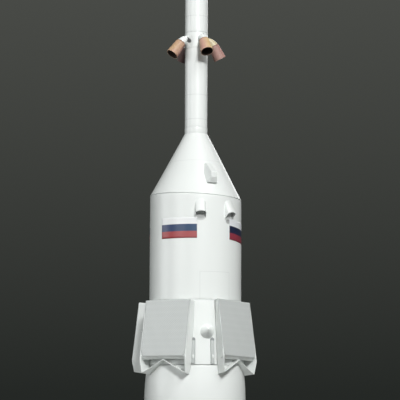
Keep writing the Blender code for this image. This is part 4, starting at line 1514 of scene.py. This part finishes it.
@dataclass
class GridFins:
    """Four folded grid fins: an open card box with pointed cheeks, a W strap below and a lattice panel.

    Fields:
        top_reach, foot_reach: how far out the panel's front lies at its ends.
        knee, tip, hem, apex: reach and height of a cheek's corners, the front's fold and the strap's middle.
        fall, strap_fall: how much the sheets sink for each metre back to the band. The strap's second number is
            added towards the cheeks.
        panel_lap, panel_cut, panel_chamfer: how far the panel overlaps the cheeks, and its cut lower corners.
    """

    hull: Fairing
    fins: tuple[Folding, ...] = (
        Folding(-45.0, left=Cheek(halves=(0.0157, 0.0163, 0.0161)),
                right=Cheek(halves=(0.0179, 0.0177, 0.0167), seats=(0.0163, 0.0159, 0.0148))),
        Folding(45.0, left=Cheek(halves=(0.0175, 0.0184, 0.016), seats=(0.0142, 0.0146, 0.014), short=0.0009),
                tilt=0.033),
        Folding(135.0),
        Folding(-135.0, standoff=0.0019, rise=0.0009),
    )
    panel_cut: float = 0.0017
    panel_lap: float = 0.00022
    panel_chamfer: float = 0.0042
    top: float = 0.792
    foot: float = 0.7579
    top_reach: float = 0.0298
    foot_reach: float = 0.0346
    knee: Pair = (0.035, 0.7557)
    tip: Pair = (0.0334, 0.748)
    fall: float = 0.139
    strap_fall: Pair = (0.02, 0.119)
    strap_sag: float = 0.0003
    card: float = 0.00036
    panel_card: float = 0.0004
    hem: Pair = (0.0328, 0.7561)
    apex: Pair = (0.0333, 0.756)
    bow: float = 0.00028
    ripple: float = 0.00004

    def panel_reach(self, height: np.ndarray) -> np.ndarray:
        """How far out the panel's front lies at a height."""
        share = (self.top - height) / (self.top - self.foot)
        return self.top_reach + share * (self.foot_reach - self.top_reach)

    def sheet(self, front: np.ndarray, seat: np.ndarray, fall: np.ndarray, fin: Folding, short: float = 0.0) -> Shell:
        """A sheet between a front line and the hull.

        From a front point (X, Y, Z) a line runs to the point of the hull at the seat's Y, which lies lower by the
        fall times the run. The hull's radius at that height is found by stepping eight times.

        Args:
            front: points of the front line, in the fin's own frame.
            seat: how far from the fin's middle each of them meets the hull.
            fall: how much each line sinks for each metre of its run.
            fin: how the fin was folded.
            short: how much the sheet falls short of its glued seat.

        Returns:
            A sheet whose rows follow the front line.
        """
        run = np.full(len(front), 0.005)
        for _ in range(8):
            radius = self.hull.radius_at(front[:, 2] - fall * run)
            run = front[:, 0] + fin.standoff - np.sqrt(radius**2 - seat**2)
        run = run + SUNK / 2 - short
        back = grid_of(front[:, 0] - run, seat, front[:, 2] - fall * run)
        share = np.linspace(0.0, 1.0, 9)[None, :, None]
        return grid_shell(front[:, None] * (1.0 - share) + share * back[:, None])

    def cheek(self, side: int, fin: Folding) -> Shell:
        """One side of the box: its front line goes down the panel's side to the knee and in to the tip.

        Args:
            side: -1 or 1.
            fin: how the fin was folded.

        Returns:
            An open sheet.
        """
        made = fin.left if side < 0 else fin.right
        rows = np.array([
            (self.top_reach, self.top, made.halves[0], made.seats[0]), (*self.knee, made.halves[1], made.seats[1]),
            (self.tip[0], self.tip[1] + fin.rise, made.halves[2], made.seats[2]),
        ])
        reach, height, half, seat = dense(eased(rows, 0.0012), 0.0012).T
        front = grid_of(reach, side * half, height)
        return self.sheet(front, side * seat, np.full_like(seat, self.fall), fin, made.short)

    def face(self, fin: Folding) -> Shell:
        """The box's front, hidden by the panel but for its border, and folded back below it as a hem."""
        rows = np.array([(self.top_reach, self.top, 0.0), (self.foot_reach, self.foot, 1.0), (*self.hem, 1.0)])
        reach, height, low = dense(eased(rows, 0.0002), 0.004).T[:, :, None]
        across = np.linspace(-1.0, 1.0, 33)[None]
        wide = fin.half(across, 0) * (1.0 - low) + fin.half(across, 1) * low
        reach = reach - self.panel_card - self.card / 2
        return grid_shell(grid_of(reach, wide, height))

    def lid(self, fin: Folding) -> Shell:
        """The box's top, from the panel's edge back to the hull."""
        across = np.linspace(-1.0, 1.0, 33)
        front = grid_of(self.top_reach - self.panel_card, fin.half(across, 0), self.top - 0.0001)
        return self.sheet(front, fin.seat(across, 0), np.full_like(across, self.fall), fin)

    def strap(self, fin: Folding) -> Shell:
        """The strap: straight from each cheek's tip up to the middle and folded there, level back to the hull."""
        across = np.linspace(-1.0, 1.0, 41)
        away = np.abs(across)
        reach = self.apex[0] + away * (self.tip[0] - self.apex[0])
        height = self.apex[1] + away * (self.tip[1] + fin.rise - self.apex[1]) - self.strap_sag * np.sin(np.pi * away)
        front = grid_of(reach, fin.half(across, 2), height)
        return self.sheet(front, fin.seat(across, 2), self.strap_fall[0] + self.strap_fall[1] * away**4, fin)

    def panel(self, fin: Folding) -> Shell:
        """The panel's front, its lower corners cut off: a bow of the bow times 1 - x^2, and a slight wave down it."""
        across = np.linspace(-1.0, 1.0, 41)[None]
        height = np.linspace(self.top, self.foot, 41)[:, None]
        down = (self.top - height) / (self.top - self.foot)
        cut = np.clip(1.0 - (height - self.foot) / self.panel_chamfer, 0.0, 1.0)
        wide = fin.half(across, 0) * (1.0 - down) + fin.half(across, 1) * down
        wide = wide + (self.panel_lap - self.panel_cut * cut) * across
        bulge = self.bow * (1 - across**2) * np.sin(np.pi * down)
        reach = self.panel_reach(height) + bulge + self.ripple * np.sin(9 * across + 300 * height)
        return grid_shell(grid_of(reach, wide, height))

    def placed(self, shell: Shell, fin: Folding, back: float = 0.0) -> Shell:
        """A shell of a fin tilted, moved out by the standoff less a step back, and turned to its azimuth."""
        points = shell.points + np.array([fin.standoff - back, 0.0, 0.0])
        points[:, 2] -= fin.tilt * points[:, 1]
        return shell.moved_to(points).turned_to(fin.azimuth)

    def build(self) -> None:
        """Builds four boxes and four panels."""
        for number, fin in enumerate(self.fins, 1):
            shells = [self.cheek(-1, fin), self.cheek(1, fin), self.face(fin), self.lid(fin), self.strap(fin)]
            make_piece(f"grid_fin_box_{number}", [self.placed(shell, fin) for shell in shells], [PLAIN_WHITE],
                       (f"grid_fin_frame_{number}",), card=self.card, closed=False)
            front = self.placed(self.panel(fin), fin, self.panel_card / 2)
            make_piece(f"grid_fin_lattice_{number}", [front], [LATTICE], (f"grid_fin_panel_{number}",),
                       card=self.panel_card, closed=False)


@dataclass
class ThirdStage:
    """The third stage: tank, white ring and two cable ducts; its engine is built apart."""

    duct_azimuths: Reals = (-70.0, 110.0)
    duct_half: float = 0.0015
    duct_proud: float = 0.0014
    duct_slope: float = 0.003

    def build(self) -> None:
        """Builds the tank, the ring and the ducts."""
        tank, ring = Span.of("third_stage_tank"), Span.of("third_stage_ring")
        green = StageCard("third stage card", GREEN, stringer_foot=tank.foot, stringer_top=0.622,
                          bands=((0.696, 0.71), (0.656, 0.659)))
        for span, node, skin, slot in (
            (tank, "third_stage_tank", green, Slot.GREY),
            (ring, "third_stage_ring", WhiteCard("ring card", WHITE, rings=(Ring(0.589),)), Slot.WHITE),
        ):
            profile = solid_profile([(span.radius, span.top), (span.radius, span.foot)])
            make_piece(f"{node}_card", [spun_shell(profile, HULL_ROLL)], [skin], (node,))
        self.build_ducts(tank, green)

    def build_ducts(self, tank: Span, skin: Card) -> None:
        """Builds the ducts: half-round covers with sloped ends.

        At a share s along the duct, its height over the tank is the proud height times a ramp at each end, and
        its section is half an ellipse.

        Args:
            tank: the tank's sizes.
            skin: the stage's card.
        """
        for number, azimuth in enumerate(self.duct_azimuths, 1):
            span = Span.of(f"third_stage_duct_{number}")
            height = np.linspace(span.top - 0.00005, span.foot + 0.00005, 61)[:, None]
            ramp = np.clip(np.minimum(span.top - height, height - span.foot) / self.duct_slope, 0.0, 1.0)
            lift = self.duct_proud * np.sin(np.pi / 2 * ramp)
            turn = np.radians(np.linspace(180.0, 0.0, 17))[None]
            across = self.duct_half * np.cos(turn)
            reach = tank.radius - SUNK + (lift + SUNK) * np.sin(turn) ** 0.6
            top = grid_of(reach, -across, height)
            under = top.copy()
            under[..., 0] = tank.radius - 0.0012
            shells = [grid_shell(top), grid_shell(under, flip=True)]
            shells += [grid_shell(np.stack([under[0], top[0]])), grid_shell(np.stack([top[-1], under[-1]]))]
            shells += [grid_shell(np.stack([top[:, side], under[:, side]])) for side in (0, -1)]
            placed = [shell.turned_to(azimuth) for shell in shells]
            make_piece(f"third_stage_duct_card_{number}", placed, [skin], (f"third_stage_duct_{number}",))


@dataclass
class Truss:
    """The open truss: struts that zigzag between two hoops."""

    bays: int = 10
    strut: float = 0.00078
    foot_radius: float = 0.0224
    top_radius: float = 0.0262

    def build(self) -> None:
        """Builds the struts and the two hoops."""
        span = Span.of("interstage_truss")
        top, foot = span.top - self.strut - 0.0001, span.foot + self.strut + 0.0001
        step = 2 * np.pi / self.bays
        shells = []
        for bay in range(self.bays):
            low = bay * step
            for high in (low + step / 2, low - step / 2):
                ends = np.array([
                    (self.foot_radius * math.cos(low), self.foot_radius * math.sin(low), foot),
                    (self.top_radius * math.cos(high), self.top_radius * math.sin(high), top),
                ])
                line = dense(ends, 0.008)
                strut = pipe(line, np.full(len(line), self.strut), 14, (math.cos(low), math.sin(low), 0.0))
                shells.append(grid_shell(strut))
        turn = np.linspace(0.0, 2 * np.pi, 17)
        for radius, height in ((self.foot_radius, foot), (self.top_radius, top)):
            section = np.stack([radius + self.strut * np.cos(-turn), height + self.strut * np.sin(-turn)], axis=1)
            shells.append(spun_shell(section, Rolling(120)))
        make_piece("interstage_truss_card", shells, [TRUSS_GREY], ("interstage_truss",))


@dataclass
class Engine:
    """A thrust plate with four bells and its small steering bells, all hollow."""

    name: str
    axis: Pair
    plate_radius: float
    plate_top: float
    steering: Reals
    share: float = 1.0
    plate: float = 0.003
    sunk: float = 0.0005
    bell_circle: float = 0.0113
    bell_length: float = 0.0265
    bell_rows: tuple[Pair, ...] = ((0.0, 0.0032), (0.13, 0.0027), (0.48, 0.0054), (1.0, 0.0075))
    small_length: float = 0.0115
    small_rows: tuple[Pair, ...] = ((0.0, 0.0016), (0.25, 0.0018), (1.0, 0.0032))
    inset: float = 0.0035
    wall: float = 0.00042
    hoops: Triple = (0.62, 0.8, 0.985)
    hoop_half: float = 0.02
    hoop_proud: float = 0.00016

    def bell(self, rows: tuple, length: float, share: float, columns: int) -> list[Shell]:
        """One bell on its own axis, its rim at height 0.

        Args:
            rows: shares of the way down, each with its outer radius.
            length: how long the bell is before the share.
            share: its size against a full one.
            columns: how many columns go round it.

        Returns:
            Its outside, its cut edge and its inside.
        """
        line = np.array(rows) * (1.0, share)
        down = np.linspace(0.0, 1.0, 22)
        bend = np.polyfit(line[:, 0], line[:, 1], min(3, len(line) - 1))
        radius = np.polyval(bend, down)
        height = length * share * (1 - down)
        hoop = self.hoop_proud * (np.abs(down[:, None] - np.array(self.hoops)).min(axis=1) < self.hoop_half)
        outside = np.stack([radius + hoop, height], axis=1)
        inner = np.stack([radius - self.wall, height], axis=1)[::-1]
        outside = np.concatenate([[(0.0, height[0])], outside])
        rim = np.array([(radius[-1] + hoop[-1], 0.0), (radius[-1] - self.wall, 0.0)])
        inside = np.concatenate([inner[:-2], [(0.0, inner[-3][1])]])
        rolling = Rolling(columns)
        return [spun_shell(part, rolling, finish) for part, finish in ((outside, 0), (rim, 1), (inside, 2))]

    def build(self) -> None:
        """Builds the plate and hangs the bells under it."""
        foot = self.plate_top - self.plate
        middle = np.array([self.axis[0], self.axis[1], 0.0])
        plate = solid_profile([(self.plate_radius, self.plate_top), (self.plate_radius, foot)], 0.0003)
        shells = [spun_shell(plate, Rolling(96), 3).shifted(middle)]
        length = self.bell_length * self.share
        groups = (
            (self.bell(self.bell_rows, self.bell_length, self.share, 48), self.bell_circle * self.share, length,
             (45.0, 135.0, 225.0, 315.0)),
            (self.bell(self.small_rows, self.small_length, 1.0, 28), self.plate_radius - self.inset,
             self.small_length, self.steering),
        )
        for bell, circle, tall, angles in groups:
            for angle in angles:
                turn = math.radians(angle)
                hung = np.array([circle * math.cos(turn), circle * math.sin(turn), foot + self.sunk - tall])
                shells += [shell.shifted(middle + hung) for shell in bell]
        make_piece(f"{self.name}_card", shells, [STEEL, PALE_STEEL, SOOT, PLATE_CARD], (self.name,))


@dataclass
class CoreStage:
    """The core stage: dome, upper cone, flared tank and tail; its engine is built apart."""

    top_radius: float = 0.0234
    wide_radius: float = 0.0307
    waist_foot: float = 0.412
    flare_foot: float = 0.33

    def build(self) -> None:
        """Builds the dome and the three rolled cards."""
        dome = Span.of("core_top_dome")
        turn = np.radians(np.linspace(90.0, 0.0, 15))
        bowl = np.stack([dome.radius * np.cos(turn), dome.foot + (dome.top - dome.foot) * np.sin(turn)], axis=1)
        profile = np.concatenate([bowl, [(0.0, dome.foot)]])
        make_piece("core_top_dome_card", [spun_shell(profile, Rolling(120))], [DOME_CARD],
                   ("core_top_dome",))
        cone, tank, tail = (Span.of(node) for node in ("core_upper_cone", "core_tank", "core_tail"))
        upper = StageCard("core upper card", GREEN, hoop_pitch=0.0232, stringers=32, stringer_foot=0.52,
                          bands=((0.53, 0.536),))
        lower = StageCard("core tank card", GREEN, hoop_pitch=0.025, stringers=32, stringer_foot=self.waist_foot,
                          stringer_top=0.426, bands=((0.396, 0.401),))
        foot = StageCard("core tail card", (0.62, 0.65, 0.63), hoop_pitch=0.011, stringers=36)
        sheets = (
            ("core_upper_cone", [(self.top_radius, cone.top), (self.wide_radius, cone.foot)], upper),
            ("core_tank", [(self.wide_radius, tank.top), (self.wide_radius, self.waist_foot),
                           (tail.radius, self.flare_foot), (tail.radius, tank.foot)], lower),
            ("core_tail", [(tail.radius, tail.top), (tail.radius, tail.foot)], foot),
        )
        for node, side, skin in sheets:
            sheet = spun_shell(solid_profile(side, 0.0004), HULL_ROLL)
            make_piece(f"{node}_card", [sheet], [skin], (node,))


@dataclass
class Boosters:
    """Four boosters: a straight tail with a vane, and a body and nose that lean in towards the core."""

    azimuths: Reals = (0.0, 90.0, 180.0, 270.0)
    radius: float = 0.0279
    lean: float = 0.04745
    shoulder: float = 0.4
    shoulder_radius: float = 0.0045
    vane_reach: float = 0.1073
    vane: float = 0.0013
    seam: float = 0.0003

    def axis(self) -> float:
        """How far a booster's axis stands from the core's."""
        return Span.of("core_tail").radius + self.radius + self.seam

    def leaned(self, shell: Shell, tail_top: float) -> Shell:
        """Shears a shell about the booster's own axis: each point moves in by the lean times its height."""
        points = shell.points.copy()
        points[:, 0] += self.axis() - self.lean * (points[:, 2] - tail_top)
        return shell.moved_to(points)

    def build(self) -> None:
        """Builds each booster's four pieces."""
        tail, middle, end = (Span.of(f"booster_{part}_1") for part in ("tail", "body", "nose"))
        tail_foot, tail_top, tip = tail.foot, tail.top, end.top
        taper = (self.radius - self.shoulder_radius) / (self.shoulder - tail_top)
        neck = self.radius - taper * (middle.top - tail_top)
        body = [(neck, middle.top), (self.radius, middle.foot)]
        nose = np.array([(0.0, tip), (0.0012, tip), (0.0031, tip - 0.002), (self.shoulder_radius, self.shoulder),
                         (neck, end.foot), (0.0, end.foot)])
        body_skin = StageCard("booster card", GREEN, hoop_pitch=0.0245, stringer_foot=0.318,
                              bands=((0.246, 0.252),))
        tail_skin = StageCard("booster tail card", ORANGE, hoop_pitch=0.0152, stringers=28, line=(0.3, 0.09, 0.03),
                              bands=((tail_top - 0.0032, tail_top + 0.001),))
        body_shell = self.leaned(spun_shell(solid_profile(body), HULL_ROLL), tail_top)
        nose_shell = self.leaned(spun_shell(dense(eased(nose, 0.0005), 0.004), HULL_ROLL), tail_top)
        tail_side = [(self.radius, tail_top), (self.radius, tail_foot)]
        tail_shell = spun_shell(solid_profile(tail_side), HULL_ROLL).shifted(np.array([self.axis(), 0.0, 0.0]))
        vane_shell = self.vane_shell(tail_foot, tail_top)
        for number, azimuth in enumerate(self.azimuths, 1):
            pieces = (
                ("tail", [tail_shell, vane_shell], tail_skin, Slot.ORANGE),
                ("body", [body_shell], body_skin, Slot.GREY),
                ("nose", [nose_shell], body_skin, Slot.GREY),
            )
            for part, shells, skin, slot in pieces:
                placed = [shell.turned_to(azimuth) for shell in shells]
                node = f"booster_{part}_{number}"
                make_piece(f"booster_{part}_card_{number}", placed, [skin], (node,))
            self.build_engine(number, azimuth)

    def vane_shell(self, foot: float, top: float) -> Shell:
        """The booster's vane, a plate that stands out from its tail."""
        root = self.axis() + self.radius - 0.002
        outline = [(root, foot + 0.001), (self.vane_reach, foot + 0.001), (self.vane_reach, foot + 0.014),
                   (root + 0.006, top - 0.004), (root, top - 0.004)]
        ring = eased(np.array([*outline, outline[0]]), 0.0008)[:-1]
        points = np.stack([ring[:, 0], np.full(len(ring), -self.vane / 2), ring[:, 1]], axis=1)
        return prism(points, np.array([0.0, self.vane, 0.0]))

    def build_engine(self, number: int, azimuth: float) -> None:
        """Builds the engine of one booster.

        Args:
            number: the booster's number.
            azimuth: where it stands round the core.
        """
        turn = math.radians(azimuth - 90.0)
        axis = (self.axis() * math.cos(turn), self.axis() * math.sin(turn))
        steering = tuple(math.degrees(turn) + side for side in (-62.0, 62.0))
        top = Span.of(f"booster_engine_{number}").top
        Engine(f"booster_engine_{number}", axis, 0.0225, top, steering).build()


@dataclass(frozen=True)
class Lamp:
    """A square light: degrees to the right of the camera, elevation, power in watts, and its other sizes."""

    name: str
    side: float
    elevation: float
    power: float
    size: float = 0.8
    colour: Colour = (1.0, 1.0, 1.0)
    aim: float = 0.8
    reach: float = 1.8


@dataclass
class Studio:
    """The camera, the floor, the dark backdrop and the soft lights."""

    azimuth: float = -9.0
    distance: float = 0.936
    eye: float = 0.735
    aim_side: float = 0.0027
    aim: float = 0.8564
    roll: float = 0.2
    lens: float = 135.0
    floor_radius: float = 1.4
    lamps: tuple[Lamp, ...] = (
        Lamp("key", 15.0, 30.0, 24.0, size=0.35),
        Lamp("high right", 35.0, 48.0, 8.0, size=0.55),
        Lamp("left fill", -85.0, 12.0, 6.3, colour=(0.96, 0.985, 1.0)),
        Lamp("front left fill", -40.0, 12.0, 4.2),
        Lamp("right fill", 58.0, 12.0, 0.8),
        Lamp("back", 170.0, 40.0, 6.0, aim=0.4),
    )

    def build_camera(self) -> None:
        """Places the camera at the photograph's angle."""
        turn = math.radians(self.azimuth)
        place = Vector((math.sin(turn), -math.cos(turn), 0.0)) * self.distance
        place.z = self.eye
        right = Vector((math.cos(turn), math.sin(turn), 0.0))
        target = right * self.aim_side
        target.z = self.aim
        data = bpy.data.cameras.new("camera")
        data.lens = self.lens
        data.sensor_width = 36.0
        data.clip_start = 0.01
        camera = linked("camera", data)
        facing = (target - place).to_track_quat("-Z", "Y").to_matrix()
        camera.matrix_world = (
            Matrix.Translation(place) @ facing.to_4x4() @ Matrix.Rotation(math.radians(self.roll), 4, "Z")
        )
        bpy.context.scene.camera = camera

    def build_light(self, lamp: Lamp) -> None:
        """Adds one soft square light that faces the rocket's axis.

        Args:
            lamp: where it hangs and how strong it is.
        """
        data = bpy.data.lights.new(lamp.name, "AREA")
        data.size = lamp.size
        data.energy = lamp.power
        data.color = lamp.colour
        turn, lift = math.radians(self.azimuth + lamp.side), math.radians(lamp.elevation)
        away = Vector((math.sin(turn) * math.cos(lift), -math.cos(turn) * math.cos(lift), math.sin(lift)))
        holder = linked(lamp.name, data)
        place = Vector((0.0, 0.0, lamp.aim)) + away * lamp.reach
        holder.matrix_world = Matrix.Translation(place) @ away.to_track_quat("Z", "Y").to_matrix().to_4x4()

    def build_floor(self) -> None:
        """Lays a round pale floor with a soft, uneven matt surface."""
        reach = np.linspace(0.0, self.floor_radius, 12)[:, None]
        turn = np.linspace(0.0, 2 * np.pi, 145)[None]
        shell = grid_shell(grid_of(reach * np.cos(turn), reach * np.sin(turn), 0.0))
        mesh = bpy.data.meshes.new("floor")
        mesh.from_pydata(shell.points.tolist(), [], shell.faces)
        mesh.materials.append(material_of(Card("studio floor", (0.62, 0.62, 0.61), roughness=0.75, coat=0.0)))
        linked("floor", mesh)

    def build_backdrop(self) -> None:
        """Gives the world a dark grey that grows lighter from the horizon up."""
        world = bpy.data.worlds.new("backdrop")
        bpy.context.scene.world = world
        world.use_nodes = True
        nodes, links = world.node_tree.nodes, world.node_tree.links
        where = nodes.new("ShaderNodeTexCoord")
        split = nodes.new("ShaderNodeSeparateXYZ")
        ramp = nodes.new("ShaderNodeValToRGB")
        links.new(where.outputs["Generated"], split.inputs[0])
        links.new(split.outputs[2], ramp.inputs[0])
        links.new(ramp.outputs[0], nodes["Background"].inputs["Color"])
        ramp.color_ramp.elements[0].color = (0.0185, 0.0213, 0.019, 1.0)
        ramp.color_ramp.elements[1].position = 0.26
        ramp.color_ramp.elements[1].color = (0.066, 0.0695, 0.0625, 1.0)

    def build(self) -> None:
        """Builds the studio."""
        bpy.context.scene.view_settings.view_transform = "Standard"
        self.build_camera()
        self.build_floor()
        self.build_backdrop()
        for lamp in self.lamps:
            self.build_light(lamp)


def main() -> None:
    """Builds every part of the rocket in order."""
    logging.basicConfig(level=logging.INFO, format="%(message)s")
    Studio().build()
    EscapeTower().build()
    fairing = Fairing()
    fairing.build()
    GridFins(fairing).build()
    ThirdStage().build()
    top = Span.of("third_stage_engine").top
    Engine("third_stage_engine", (0.0, 0.0), 0.019, top, (-90.0, 0.0, 90.0, 180.0), share=0.92).build()
    Truss().build()
    CoreStage().build()
    top = Span.of("core_engine").top
    Engine("core_engine", (0.0, 0.0), 0.0195, top, (-90.0, 0.0, 90.0, 180.0)).build()
    Boosters().build()


if __name__ == "__main__":
    main()
